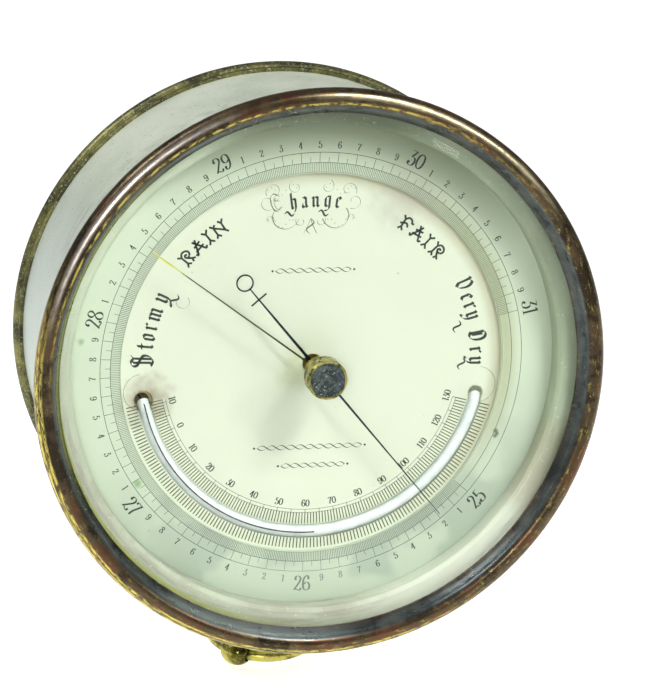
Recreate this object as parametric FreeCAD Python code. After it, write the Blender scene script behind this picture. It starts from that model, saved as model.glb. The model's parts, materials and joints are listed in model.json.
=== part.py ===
"""Brass-cased ship's aneroid barometer with a curved dial thermometer.

Frame: millimetres, +Z is the dial's 12 o'clock, the dial faces -Y and +X is to its right.
The origin is the centre of the rear face that lies against the bulkhead.
Depths below are measured from the dial's front face, positive towards the back of the case.
Angles are anticlockwise from 3 o'clock, as seen from the front.
"""
import FreeCAD, Part
import math
import os
from FreeCAD import Vector

# ---------------------------------------------------------------- driving dimensions
CASE_BACK = 51.0            # depth of the rear mounting face behind the dial
SCALE_RADIUS = 56.0         # outer arc of the pressure scale
BEZEL_RADIUS = 75.0
DRUM_RADIUS = 67.9
DRUM_WALL = 1.5
DRUM_FRONT = -5.2           # depth of the drum's front end
DRUM_BACK = 50.0
REAR_BEAD_RADIUS = 70.1

GLASS_FRONT = -10.4
GLASS_BACK = -6.4
GLASS_RADIUS = 69.4
BEVEL_INNER = 65.2
LIP_RADIUS = 68.3
DIAL_OPENING = 64.3         # inner radius of the reflector ring

DIAL_STEP = 50.6            # edge of the sunk centre of the dial
SCALE_RING_THICKNESS = 1.0
DIAL_PLATE_BACK = 2.4
DIAL_PLATE_RADIUS = 62.0

BASE_FRONT = 40.0           # movement base plate
BASE_BACK = 42.0
BASE_RADIUS = 64.0
BACK_PLATE_FRONT = 49.3
BACK_PLATE_RADIUS = 65.3
FASTENER_CIRCLE = 60.0

PRESSURE_AT_TOP = 29.5      # inches of mercury under 12 o'clock
DEGREES_PER_INCH = 51.12
REST_PRESSURE = 25.19
SET_HAND_ANGLE = 143.9

THERMO_RADIUS = 45.2        # centreline of the thermometer tube
THERMO_START = -169.0
THERMO_END = -12.0
THERMO_DEPTH = 0.25
TUBE_RADIUS = 1.7
BORE_RADIUS = 0.45

ARBOR_RADIUS = 0.8
RUNNING_GAP = 0.05          # radial clearance of every running fit
SCREW_GAP = 0.05

CAPSULE_RADIUS = 24.0
CAPSULE_FRONT = 29.5
CAPSULE_BACK = 36.5

BRIDGE_Z = 30.0             # height of the spring bridge, the lever's flexing line
LEVER_TIP_Z = -37.0
LEVER_TIP_DEPTH = 21.2
ROCKER_Z = -33.0
ROCKER_DEPTH = 29.0
LONG_ARM_X = 9.0
CHAIN_DEPTH = 14.0

PENDANT_ANGLE = -100.2
PENDANT_DEPTH = 14.0
BALL_REACH = 83.8           # ball centre from the case axis
BALL_RADIUS = 3.6
SUSPENSION_RADIUS = 14.2    # centreline of the suspension ring
WIRE_RADIUS = 1.5
RING_TURN = 50.0            # swivel of the ring from sideways towards the back
RING_LIFT = 18.0            # fold of the ring towards the case

AXIS = Vector(0, 1, 0)
PARTS = {}


# ---------------------------------------------------------------- helpers
def plane(depth):
    """Y of the plane that lies this deep behind the dial's front face."""
    return depth - CASE_BACK


def disc(radius, front, back, x=0.0, z=0.0):
    return Part.makeCylinder(radius, back - front, Vector(x, plane(front), z), AXIS)


def annulus(outer, inner, front, back, x=0.0, z=0.0):
    return disc(outer, front, back, x, z).cut(disc(inner, front - 1, back + 1, x, z))


def block(x_span, depth_span, z_span):
    corner = Vector(x_span[0], plane(depth_span[0]), z_span[0])
    return Part.makeBox(x_span[1] - x_span[0], depth_span[1] - depth_span[0], z_span[1] - z_span[0], corner)


def upright(radius, low, high):
    """Cylinder about the frame's Z, for the pendant before it is turned to its place."""
    return Part.makeCylinder(radius, high - low, Vector(0, 0, low), Vector(0, 0, 1))


def rod(radius, start, end):
    return Part.makeCylinder(radius, (end - start).Length, start, end - start)


def polar(radius, angle, depth):
    turn = math.radians(angle)
    return Vector(radius * math.cos(turn), plane(depth), radius * math.sin(turn))


def turned(profile):
    """Revolve (radius, depth) points about the case axis; a pair of points is an arc's middle and end."""
    edges = []
    here = Vector(profile[0][0], plane(profile[0][1]), 0)
    first = here
    for step in list(profile[1:]) + [profile[0]]:
        if isinstance(step[0], tuple):
            middle = Vector(step[0][0], plane(step[0][1]), 0)
            there = Vector(step[1][0], plane(step[1][1]), 0)
            edges.append(Part.Arc(here, middle, there).toShape())
        else:
            there = Vector(step[0], plane(step[1]), 0)
            if (there - here).Length < 1e-6:
                continue
            edges.append(Part.makeLine(here, there))
        here = there
    face = Part.Face(Part.Wire(edges))
    return face.revolve(Vector(0, 0, 0), AXIS, 360)


def around(shape, angle):
    """Turn a shape anticlockwise about the case axis, seen from the front."""
    copy = shape.copy()
    copy.rotate(Vector(0, 0, 0), AXIS, -angle)
    return copy


def bar(x_start, x_end, half_start, half_end, front, back):
    """Flat tapered blade along +X."""
    corners = [(x_start, -half_start), (x_end, -half_end), (x_end, half_end), (x_start, half_start)]
    wire = Part.makePolygon([Vector(x, plane(front), z) for x, z in corners + corners[:1]])
    return Part.Face(wire).extrude(Vector(0, back - front, 0))


def fuse(first, *others):
    return first.multiFuse(list(others)).removeSplitter()


def group(shapes):
    return Part.makeCompound(shapes)


def drill(shape, holes, radius, front, back):
    for x, z in holes:
        shape = shape.cut(disc(radius, front, back, x, z))
    return shape


def screw(x, z, head_depths, head_radius, shank_radius, shank_end, slot_angle=0.0):
    """Slotted screw along the case axis; head_depths runs from the outer face to the seat."""
    outer, seat = head_depths
    head = disc(head_radius, min(outer, seat), max(outer, seat), x, z)
    shank = disc(shank_radius, min(seat, shank_end), max(seat, shank_end), x, z)
    inward = 0.5 if seat > outer else -0.5
    slot = block((-head_radius - 1, head_radius + 1), sorted((outer - inward, outer + inward)), (-0.3, 0.3))
    slot = around(slot, slot_angle)
    slot.translate(Vector(x, 0, z))
    return fuse(head, shank).cut(slot)


def ring_places(count, radius, first_angle):
    angles = [first_angle + k * 360.0 / count for k in range(count)]
    return [(radius * math.cos(math.radians(a)), radius * math.sin(math.radians(a))) for a in angles]


def node(name, shape):
    PARTS[name] = shape


# ---------------------------------------------------------------- fastener places
LUG_PLACES = ring_places(4, FASTENER_CIRCLE, 45.0)
DIAL_PILLAR_PLACES = ring_places(3, 57.0, 0.0)
MOVEMENT_PILLAR_PLACES = [(-30.0, 0.0), (30.0, 0.0)]
BRIDGE_LEG_PLACES = [(-13.5, BRIDGE_Z), (13.5, BRIDGE_Z)]
BRACKET_PLACES = [(-17.5, ROCKER_Z), (19.5, ROCKER_Z)]
REAR_SCREW_PLACES = DIAL_PILLAR_PLACES + MOVEMENT_PILLAR_PLACES + BRIDGE_LEG_PLACES + BRACKET_PLACES
REAR_SHANK = 1.4
LUG_SHANK = 1.45
GRUB_ANGLES = (30.0, 150.0, 270.0)
GRUB_DEPTH = 0.6
GRUB_RADIUS = 0.9

PENDANT_OUT = Vector(math.cos(math.radians(PENDANT_ANGLE)), 0, math.sin(math.radians(PENDANT_ANGLE)))
PENDANT_LINE = Vector(0, plane(PENDANT_DEPTH), 0)


def pendant_point(reach):
    return PENDANT_LINE + PENDANT_OUT * reach


# ---------------------------------------------------------------- case
def make_case():
    inner = DRUM_RADIUS - DRUM_WALL
    drum = annulus(DRUM_RADIUS, inner, DRUM_FRONT, DRUM_BACK)
    for angle in GRUB_ANGLES:
        drum = drum.cut(rod(GRUB_RADIUS, polar(60, angle, GRUB_DEPTH), polar(80, angle, GRUB_DEPTH)))
    drum = drum.cut(rod(3.0, pendant_point(60), pendant_point(80)))
    node("case_drum", drum)

    bead = REAR_BEAD_RADIUS
    node("rear_ring", turned([
        (DRUM_RADIUS, 45.9), (68.9, 45.9), (68.9, 47.1),
        ((bead, 48.9), (68.9, 50.7)), (68.3, CASE_BACK), (65.4, CASE_BACK), (65.4, DRUM_BACK),
        (DRUM_RADIUS, DRUM_BACK)]))

    tube_radius, tube_depth, tube_section = 72.3, -11.3, 2.7
    seat = GLASS_RADIUS + 0.1
    skirt = DRUM_RADIUS + SCREW_GAP
    bezel = turned([
        (skirt, DRUM_FRONT), (skirt, 3.2), (69.6, 3.2), (70.0, 2.8), (70.0, -7.6), (70.9, -8.1),
        (71.4, -8.759),
        ((tube_radius + tube_section, tube_depth), (tube_radius, tube_depth - tube_section)),
        ((70.1, -12.9), (69.75, -12.2)), ((69.1, -11.2), (LIP_RADIUS, -10.3)),
        (LIP_RADIUS, -9.55), (seat, -9.05), (seat, DRUM_FRONT)])
    for angle in GRUB_ANGLES:
        bezel = bezel.cut(rod(GRUB_RADIUS, polar(66, angle, GRUB_DEPTH), polar(80, angle, GRUB_DEPTH)))
    node("front_bezel", bezel)

    grubs = []
    for angle in GRUB_ANGLES:
        grub = rod(GRUB_RADIUS - 0.02, polar(66.5, angle, GRUB_DEPTH), polar(69.9, angle, GRUB_DEPTH))
        slot = around(block((69.4, 70.5), (GRUB_DEPTH - 0.15, GRUB_DEPTH + 0.15), (-2, 2)), angle)
        grubs.append(grub.cut(slot))
    node("bezel_grub_screws", group(grubs))

    back_plate = disc(BACK_PLATE_RADIUS, BACK_PLATE_FRONT, CASE_BACK)
    back_plate = drill(back_plate, LUG_PLACES, LUG_SHANK + SCREW_GAP, BACK_PLATE_FRONT - 1, CASE_BACK + 1)
    back_plate = drill(back_plate, [(0, BRIDGE_Z)], 3.5, BACK_PLATE_FRONT - 1, CASE_BACK + 1)
    back_plate = drill(back_plate, ring_places(6, 6.0, 30.0), 1.0, BACK_PLATE_FRONT - 1, CASE_BACK + 1)
    screws = []
    for k, (x, z) in enumerate(LUG_PLACES):
        sink_depth = 1.4
        seat = Vector(x, plane(CASE_BACK - sink_depth), z)
        back_plate = back_plate.cut(Part.makeCone(LUG_SHANK + SCREW_GAP, 3.0, sink_depth, seat, AXIS))
        head = Part.makeCone(LUG_SHANK, 2.95, sink_depth, seat, AXIS)
        slot = around(block((-4, 4), (CASE_BACK - 0.6, CASE_BACK + 1), (-0.35, 0.35)), 35.0 * k + 20.0)
        slot.translate(Vector(x, 0, z))
        screws.append(fuse(head, disc(LUG_SHANK, 45.3, CASE_BACK - sink_depth, x, z)).cut(slot))
    node("back_plate", back_plate)
    node("back_plate_screws", group(screws))

    lugs = []
    lug_band = annulus(inner, 55.5, BASE_BACK, BACK_PLATE_FRONT)
    for k in range(4):
        sector = around(block((50, 70), (BASE_BACK, BACK_PLATE_FRONT), (-6, 6)), 45.0 + 90.0 * k)
        lug = lug_band.common(sector)
        lugs.append(drill(lug, LUG_PLACES, LUG_SHANK + SCREW_GAP, BASE_BACK - 1, BACK_PLATE_FRONT + 1))
    node("case_lugs", group(lugs))


# ---------------------------------------------------------------- glass and dial
def make_window():
    node("crystal_glass", turned([
        (1.6, GLASS_FRONT), (BEVEL_INNER, GLASS_FRONT), (68.5, -8.95), (GLASS_RADIUS, -8.95),
        (GLASS_RADIUS, GLASS_BACK), (1.6, GLASS_BACK)]))
    node("reflector_ring", turned([
        (DIAL_OPENING + 1.0, GLASS_BACK), (GLASS_RADIUS, GLASS_BACK), (GLASS_RADIUS, DRUM_FRONT),
        (66.3, DRUM_FRONT), (66.3, 0.0), (DIAL_OPENING, 0.0), (DIAL_OPENING, -5.4)]))
    node("scale_ring", annulus(66.2, DIAL_STEP, 0.0, SCALE_RING_THICKNESS))

    plate = disc(DIAL_PLATE_RADIUS, SCALE_RING_THICKNESS, DIAL_PLATE_BACK)
    plate = plate.cut(disc(2.6, 0, 4))
    for angle in (THERMO_START, THERMO_END):
        place = polar(THERMO_RADIUS, angle, 0)
        plate = plate.cut(disc(2.7, 0, 4, place.x, place.z))
    groove = Part.makeTorus(THERMO_RADIUS, TUBE_RADIUS + 0.1, Vector(0, plane(THERMO_DEPTH), 0), AXIS)
    lower_half = block((-60, 60), (-4, 5), (-60, polar(THERMO_RADIUS, THERMO_START, 0).z))
    plate = plate.cut(groove.common(lower_half))
    node("dial_plate", plate)

    pillar = []
    for x, z in DIAL_PILLAR_PLACES:
        post = disc(2.6, DIAL_PLATE_BACK, BASE_FRONT, x, z)
        pillar.append(post.cut(disc(REAR_SHANK + SCREW_GAP, 34, 41, x, z)))
    node("dial_pillars", group(pillar))


def tube_path():
    """Centreline of the thermometer: a long arc that dips back through the dial at both ends."""
    elbow = 2.6
    drop = 4.2
    edges = []
    start_angle = THERMO_START + math.degrees(elbow / THERMO_RADIUS)
    end_angle = THERMO_END - math.degrees(elbow / THERMO_RADIUS)
    arc_start = polar(THERMO_RADIUS, start_angle, THERMO_DEPTH)
    arc_end = polar(THERMO_RADIUS, end_angle, THERMO_DEPTH)
    middle = polar(THERMO_RADIUS, (start_angle + end_angle) / 2, THERMO_DEPTH)
    tangent = {}
    for key, angle, sign in (("start", start_angle, -1), ("end", end_angle, 1)):
        turn = math.radians(angle)
        tangent[key] = Vector(-math.sin(turn), 0, math.cos(turn)) * sign
    down = Vector(0, elbow, 0)
    bend = math.sqrt(0.5)
    hole_start = arc_start + tangent["start"] * elbow + down
    hole_end = arc_end + tangent["end"] * elbow + down
    mid_start = arc_start + tangent["start"] * (elbow * bend) + down * (1 - bend)
    mid_end = arc_end + tangent["end"] * (elbow * bend) + down * (1 - bend)
    bulb = hole_start + Vector(0, drop, 0)
    tail = hole_end + Vector(0, drop - 2.0, 0)
    edges.append(Part.makeLine(bulb, hole_start))
    edges.append(Part.Arc(hole_start, mid_start, arc_start).toShape())
    edges.append(Part.Arc(arc_start, middle, arc_end).toShape())
    edges.append(Part.Arc(arc_end, mid_end, hole_end).toShape())
    edges.append(Part.makeLine(hole_end, tail))
    return Part.Wire(edges), bulb


def swept(path, radius):
    start = path.Edges[0].Vertexes[0].Point
    along = path.Edges[0].tangentAt(path.Edges[0].FirstParameter)
    section = Part.Wire(Part.makeCircle(radius, start, along))
    return path.makePipeShell([section], True, True)


def make_thermometer():
    path, bulb = tube_path()
    bulb_radius = 3.4
    bulb_centre = bulb + Vector(0, bulb_radius - 0.9, 0)
    glass = swept(path, TUBE_RADIUS).fuse(Part.makeSphere(bulb_radius, bulb_centre))
    well = Part.makeSphere(bulb_radius - 0.5, bulb_centre)
    hollow = swept(path, BORE_RADIUS).fuse(well)
    node("thermometer_tube", glass.cut(hollow))

    thread_end = -95.0
    cut_off = around(block((0, 70), (-6, 12), (0, 70)), thread_end)
    cut_off = cut_off.fuse(block((0, 70), (-6, 12), (-70, 10)))
    thread = swept(path, BORE_RADIUS).cut(cut_off).fuse(well)
    node("mercury_thread", thread.removeSplitter())

    strap_back = DIAL_PLATE_BACK + 1.2
    strap = block((bulb.x - 7, bulb.x + 7), (DIAL_PLATE_BACK, strap_back), (bulb.z - 2.2, bulb.z + 2.2))
    strap = strap.cut(disc(TUBE_RADIUS + 0.25, 0, 8, bulb.x, bulb.z))
    node("bulb_strap", strap)
    node("bulb_strap_screws", group([
        disc(1.1, strap_back, strap_back + 1.0, bulb.x + shift, bulb.z) for shift in (-5, 5)]))


# ---------------------------------------------------------------- movement frame
def make_base():
    base = disc(BASE_RADIUS, BASE_FRONT, BASE_BACK)
    base = drill(base, LUG_PLACES, LUG_SHANK + SCREW_GAP, BASE_FRONT - 1, BASE_BACK + 1)
    base = drill(base, REAR_SCREW_PLACES, REAR_SHANK + SCREW_GAP, BASE_FRONT - 1, BASE_BACK + 1)
    base = drill(base, [(0, 0)], 3.0, BASE_FRONT - 1, BASE_BACK + 1)
    base = drill(base, [(0, BRIDGE_Z)], 4.0, BASE_FRONT - 1, BASE_BACK + 1)
    node("movement_base_plate", base)
    node("base_plate_screws", group([
        screw(x, z, (38.6, BASE_FRONT), 2.8, LUG_SHANK, 44.7, 20.0 * k)
        for k, (x, z) in enumerate(LUG_PLACES)]))
    node("rear_frame_screws", group([
        screw(x, z, (43.4, BASE_BACK), 2.4, REAR_SHANK, 36.5, 30.0 * k)
        for k, (x, z) in enumerate(REAR_SCREW_PLACES)]))

    pillars = []
    for x, z in MOVEMENT_PILLAR_PLACES:
        pillar = fuse(disc(2.2, 8.5, BASE_FRONT, x, z), disc(3.2, 19.0, 20.0, x, z))
        pillar = pillar.cut(disc(REAR_SHANK + SCREW_GAP, 36, 41, x, z))
        pillars.append(pillar.cut(disc(1.25, 8, 12.5, x, z)))
    node("movement_pillars", group(pillars))

    top = block((-30, 30), (7.0, 8.5), (-4.5, 4.5)).multiFuse(
        [disc(11.0, 7.0, 8.5), disc(4.5, 7.0, 8.5, -30, 0), disc(4.5, 7.0, 8.5, 30, 0)]).removeSplitter()
    top = drill(top, MOVEMENT_PILLAR_PLACES, 1.25, 6, 10)
    node("top_plate", drill(top, [(0, 0)], 2.2, 6, 10))
    node("top_plate_screws", group([
        screw(x, z, (5.7, 7.0), 2.3, 1.2, 12.0, 25.0) for x, z in MOVEMENT_PILLAR_PLACES]))
    cock = block((-30, 30), (17.5, 19.0), (-3.5, 3.5)).multiFuse(
        [disc(3.5, 17.5, 19.0, -30, 0), disc(3.5, 17.5, 19.0, 30, 0)]).removeSplitter()
    cock = drill(cock, MOVEMENT_PILLAR_PLACES, 2.2 + SCREW_GAP, 17, 20)
    node("lower_cock", drill(cock, [(0, 0)], 2.2, 17, 20))
    bore = ARBOR_RADIUS + RUNNING_GAP
    node("arbor_bushes", group([annulus(2.2, bore, 6.8, 8.7), annulus(2.2, bore, 17.4, 19.1)]))


def make_capsule():
    ripples = 10
    hub = 5.0
    level, hollow, crest = CAPSULE_FRONT + 0.45, 0.75, -0.15
    profile = [(0.0, CAPSULE_FRONT), (4.0, CAPSULE_FRONT), (hub, level)]
    pitch = (CAPSULE_RADIUS - 6.0) / ripples
    for k in range(ripples):
        radius = hub + k * pitch
        middle = level + (crest if k % 2 else hollow)
        profile.append(((radius + pitch / 2, middle), (radius + pitch, level)))
    rim = CAPSULE_RADIUS
    profile += [(rim - 0.6, CAPSULE_FRONT + 0.2), (rim, CAPSULE_FRONT + 0.8), (rim, CAPSULE_BACK - 0.8),
                (rim - 0.6, CAPSULE_BACK), (0.0, CAPSULE_BACK)]
    node("vacuum_capsule", turned(profile))
    node("capsule_stud", disc(3.0, CAPSULE_BACK, 45.5))
    corners = [Vector(5.2 * math.cos(math.radians(a)), plane(BASE_BACK), 5.2 * math.sin(math.radians(a)))
               for a in range(0, 361, 60)]
    nut = Part.Face(Part.makePolygon(corners)).extrude(Vector(0, 3.0, 0))
    node("capsule_nut", nut.cut(disc(3.0, BASE_BACK - 1, 46)))

    post = fuse(disc(3.5, 27.6, CAPSULE_FRONT), disc(2.0, 20.2, 27.6))
    node("capsule_post", post.cut(block((-3, 3), (20.8, 22.0), (-0.9, 0.9))))
    node("knife_edge", block((-7, 7), (20.8, 21.6), (-0.85, 0.85)).fuse(
        Part.Face(Part.makePolygon([Vector(-7, plane(21.6), -0.85), Vector(-7, plane(21.6), 0.85),
                                    Vector(-7, plane(21.98), 0), Vector(-7, plane(21.6), -0.85)])
                  ).extrude(Vector(14, 0, 0))).removeSplitter())


def make_spring_and_lever():
    bridge = block((-16, 16), (23.2, 27.5), (27, 33))
    bridge = bridge.fuse(block((-16, -11), (27.5, BASE_FRONT), (27, 33)))
    bridge = bridge.fuse(block((11, 16), (27.5, BASE_FRONT), (27, 33))).removeSplitter()
    bridge = drill(bridge, BRIDGE_LEG_PLACES, REAR_SHANK + SCREW_GAP, 36, 41)
    clamp_places = [(-8.0, BRIDGE_Z), (8.0, BRIDGE_Z)]
    bridge = drill(bridge, clamp_places, 1.25, 20, 26.5)
    node("spring_bridge", bridge)

    spring = block((-12, 12), (22.0, 23.2), (-14, 33))
    spring = drill(spring, [(0, 0)], 2.8, 21, 24)
    lever_screws = [(-3.0, -11.0), (3.0, -11.0)]
    spring = drill(spring, clamp_places, 1.25, 21, 24)
    node("main_spring", drill(spring, lever_screws, 1.0, 21, 24))
    clamp = drill(block((-12, 12), (20.6, 22.0), (27, 33)), clamp_places, 1.25, 20, 23)
    node("spring_clamp_plate", clamp)
    clamp_screws = [screw(x, z, (19.4, 20.6), 2.2, 1.2, 26.0, 15.0) for x, z in clamp_places]
    node("spring_clamp_screws", group(clamp_screws))

    outline = [(-5.5, -8), (5.5, -8), (5.5, -14), (2.6, -24), (2.6, -38.6), (-2.6, -38.6), (-2.6, -24),
               (-5.5, -14)]
    wire = Part.makePolygon([Vector(x, plane(20.4), z) for x, z in outline + outline[:1]])
    lever = Part.Face(wire).extrude(Vector(0, 1.6, 0))
    lever = lever.cut(block((-0.95, 0.95), (20, 23), (-40, -34.4)))
    lever = lever.fuse(rod(0.5, Vector(-2.0, plane(LEVER_TIP_DEPTH), LEVER_TIP_Z),
                           Vector(2.0, plane(LEVER_TIP_DEPTH), LEVER_TIP_Z))).removeSplitter()
    node("main_lever", drill(lever, lever_screws, 1.0, 20, 23))
    heads = [screw(x, z, (19.4, 20.4), 1.6, 0.9, 24.0, 70.0) for x, z in lever_screws]
    node("main_lever_screws", group(heads))

    eye_top = Vector(-0.7, plane(LEVER_TIP_DEPTH), LEVER_TIP_Z)
    eye_low = Vector(-0.7, plane(ROCKER_DEPTH), LEVER_TIP_Z)
    thick = Vector(1.4, 0, 0)
    link = fuse(rod(1.5, eye_top, eye_top + thick), rod(1.8, eye_low, eye_low + thick),
                block((-0.7, 0.7), (LEVER_TIP_DEPTH, ROCKER_DEPTH), (LEVER_TIP_Z - 0.7, LEVER_TIP_Z + 0.7)))
    side = Vector(1, 0, 0)
    link = link.cut(rod(0.5 + RUNNING_GAP, eye_top - side, eye_top + thick + side))
    node("connecting_link", link.cut(rod(0.95, eye_low - side, eye_low + thick + side)))


# ---------------------------------------------------------------- rocking arbor and chain
def make_rocker():
    def on_shaft(x):
        return Vector(x, plane(ROCKER_DEPTH), ROCKER_Z)

    shaft = fuse(rod(1.2, on_shaft(-11.5), on_shaft(13.5)), rod(0.5, on_shaft(-12.6), on_shaft(14.6)))
    shaft = shaft.cut(rod(3.0, on_shaft(1.6), on_shaft(2.8)).cut(rod(0.9, on_shaft(1), on_shaft(3.5))))
    shaft = shaft.cut(rod(3.0, on_shaft(8.4), on_shaft(9.6)).cut(rod(0.9, on_shaft(8), on_shaft(10))))
    node("rocking_shaft", shaft)

    short_tip = Vector(1.6, plane(ROCKER_DEPTH), LEVER_TIP_Z)
    crank = fuse(rod(2.2, on_shaft(1.6), on_shaft(2.8)), rod(1.3, short_tip, short_tip + Vector(1.2, 0, 0)),
                 block((1.6, 2.8), (ROCKER_DEPTH - 1.2, ROCKER_DEPTH + 1.2), (LEVER_TIP_Z, ROCKER_Z)),
                 rod(0.5, Vector(-1.4, short_tip.y, LEVER_TIP_Z), short_tip))
    node("short_crank", crank.cut(rod(0.9, on_shaft(1), on_shaft(3.5))))

    arm = fuse(rod(2.2, on_shaft(8.4), on_shaft(9.6)),
               block((8.4, 9.6), (CHAIN_DEPTH - 1.0, ROCKER_DEPTH), (ROCKER_Z - 1.0, ROCKER_Z + 1.0)))
    hook = Vector(8.0, plane(CHAIN_DEPTH), ROCKER_Z)
    arm = arm.cut(rod(0.5, hook, hook + Vector(2, 0, 0)))
    node("long_arm", arm.cut(rod(0.9, on_shaft(8), on_shaft(10))))

    width = (ROCKER_Z - 3, ROCKER_Z + 3)
    left_ear = block((-14.0, -12.1), (26.5, BASE_FRONT), width)
    right_ear = block((14.1, 16.0), (26.5, BASE_FRONT), width)
    bracket = fuse(block((-21, 23), (38.5, BASE_FRONT), width), left_ear, right_ear)
    bracket = drill(bracket, BRACKET_PLACES, REAR_SHANK + SCREW_GAP, 37, 41)
    node("rocker_bracket", bracket.cut(rod(1.6, on_shaft(-20), on_shaft(22))))
    pivots = []
    for outer, inner, pin in ((-15.6, -12.1, -11.4), (17.6, 14.1, 13.4)):
        body = rod(1.6, on_shaft(outer), on_shaft(inner))
        pivots.append(body.cut(rod(0.5 + RUNNING_GAP, on_shaft(pin), on_shaft(pin + (inner - pin) * 2))))
    node("rocker_pivot_screws", group(pivots))


def make_arbor():
    arbor = disc(ARBOR_RADIUS, -4.6, 19.6)
    node("centre_arbor", arbor)
    drum = turned([(ARBOR_RADIUS, 12.4), (2.2, 12.4), (2.2, 12.8), (1.1, 12.8), (1.1, 15.2), (2.2, 15.2),
                   (2.2, 15.6), (ARBOR_RADIUS, 15.6)])
    node("chain_drum", drum)
    node("hairspring_collet", annulus(1.9, ARBOR_RADIUS, 9.2, 10.8))

    strip, pitch, turns = 0.22, 1.1, 6
    inner = 1.9
    coils = []
    for k in range(2 * turns):
        radius = inner + k * pitch / 2
        centre = pitch / 4 if k % 2 else -pitch / 4
        half = annulus(radius + strip + pitch / 4, radius + pitch / 4, 9.6, 10.4, centre, 0)
        z_span = (0, 20) if k % 2 == 0 else (-20, 0)
        coils.append(half.common(block((-20, 20), (9, 11), z_span)))
    node("hairspring", fuse(coils[0], *coils[1:]))
    outer = inner + 2 * turns * pitch / 2
    node("hairspring_stud", block((-outer - 0.9, -outer + 0.9), (8.5, 9.55), (-0.9, 0.9)).fuse(
        block((-outer - 0.9, -outer - 0.1), (9.55, 10.6), (-0.9, 0.9))).removeSplitter())

    wrap = 1.1 + 0.25
    start = Vector(wrap, plane(CHAIN_DEPTH), 0)
    end = Vector(LONG_ARM_X - 0.9, plane(CHAIN_DEPTH), ROCKER_Z)
    links = 22
    beads = [Part.makeSphere(0.42, start + (end - start) * (k / links)) for k in range(2, links)]
    coil = Part.makeTorus(wrap, 0.22, Vector(0, plane(CHAIN_DEPTH), 0), AXIS)
    coil = coil.cut(block((0, 4), (10, 18), (-4, 0)))
    node("winding_chain", rod(0.22, start, end).multiFuse(beads + [coil]))


# ---------------------------------------------------------------- hands
def make_hands():
    front, back = -4.1, -3.7
    pointer = bar(1.5, 53.2, 1.0, 0.12, front, back)
    tail = bar(1.5, 28.2, 0.55, 0.28, front, back)
    cross = block((24.1, 24.8), (front, back), (-2.5, 2.5))
    eye = annulus(2.3, 1.7, front, back, 30.3, 0)
    hub = disc(2.6, front, back)
    tail_side = around(fuse(tail, cross, eye), 180.0)
    hand = fuse(pointer, hub, tail_side).cut(disc(1.6, front - 1, back + 1))
    rest_angle = 90.0 - (REST_PRESSURE - PRESSURE_AT_TOP) * DEGREES_PER_INCH
    node("indicator_hand", around(hand, rest_angle))
    node("hand_collet", turned([(ARBOR_RADIUS, -4.6), (1.6, -4.6), (1.6, back), (2.4, back), (2.0, -1.6),
                                (ARBOR_RADIUS, -1.6)]))

    blade_front, blade_back = -5.35, -5.0
    blade = bar(2.0, 54.6, 0.55, 0.2, blade_front, blade_back)
    blade = fuse(blade, disc(3.0, blade_front, blade_back)).cut(disc(1.5, -6, -4))
    node("set_hand", around(blade, SET_HAND_ANGLE))
    boss = [(1.5, -6.1), (3.4, -6.1), (3.6, -5.9), (3.6, blade_front), (1.5, blade_front)]
    node("set_hand_boss", turned(boss))
    node("set_arbor", fuse(disc(1.5, -15.0, -5.0), disc(2.4, -5.0, -4.8)))
    node("set_knob", turned([
        (1.5, -10.85), (3.6, -10.85), (3.6, -11.5), (5.0, -11.5), (5.2, -11.7), (5.2, -16.2), (4.9, -16.6),
        (4.3, -16.6), (4.15, -16.3), (0.0, -16.3), (0.0, -15.0), (1.5, -15.0)]))
    node("set_knob_washer", annulus(3.3, 1.5, -10.85, -10.45))


# ---------------------------------------------------------------- adjusting screw and pendant
def make_adjuster():
    bore = 2.0 + RUNNING_GAP
    barrel = annulus(4.0, bore, 38.4, BASE_BACK, 0, BRIDGE_Z)
    flange = annulus(5.6, bore, BASE_BACK, 43.4, 0, BRIDGE_Z)
    node("adjusting_bush", fuse(barrel, flange))
    node("adjusting_screw", screw(0, BRIDGE_Z, (47.0, 45.0), 4.2, 2.0, 27.8, 20.0))


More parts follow.
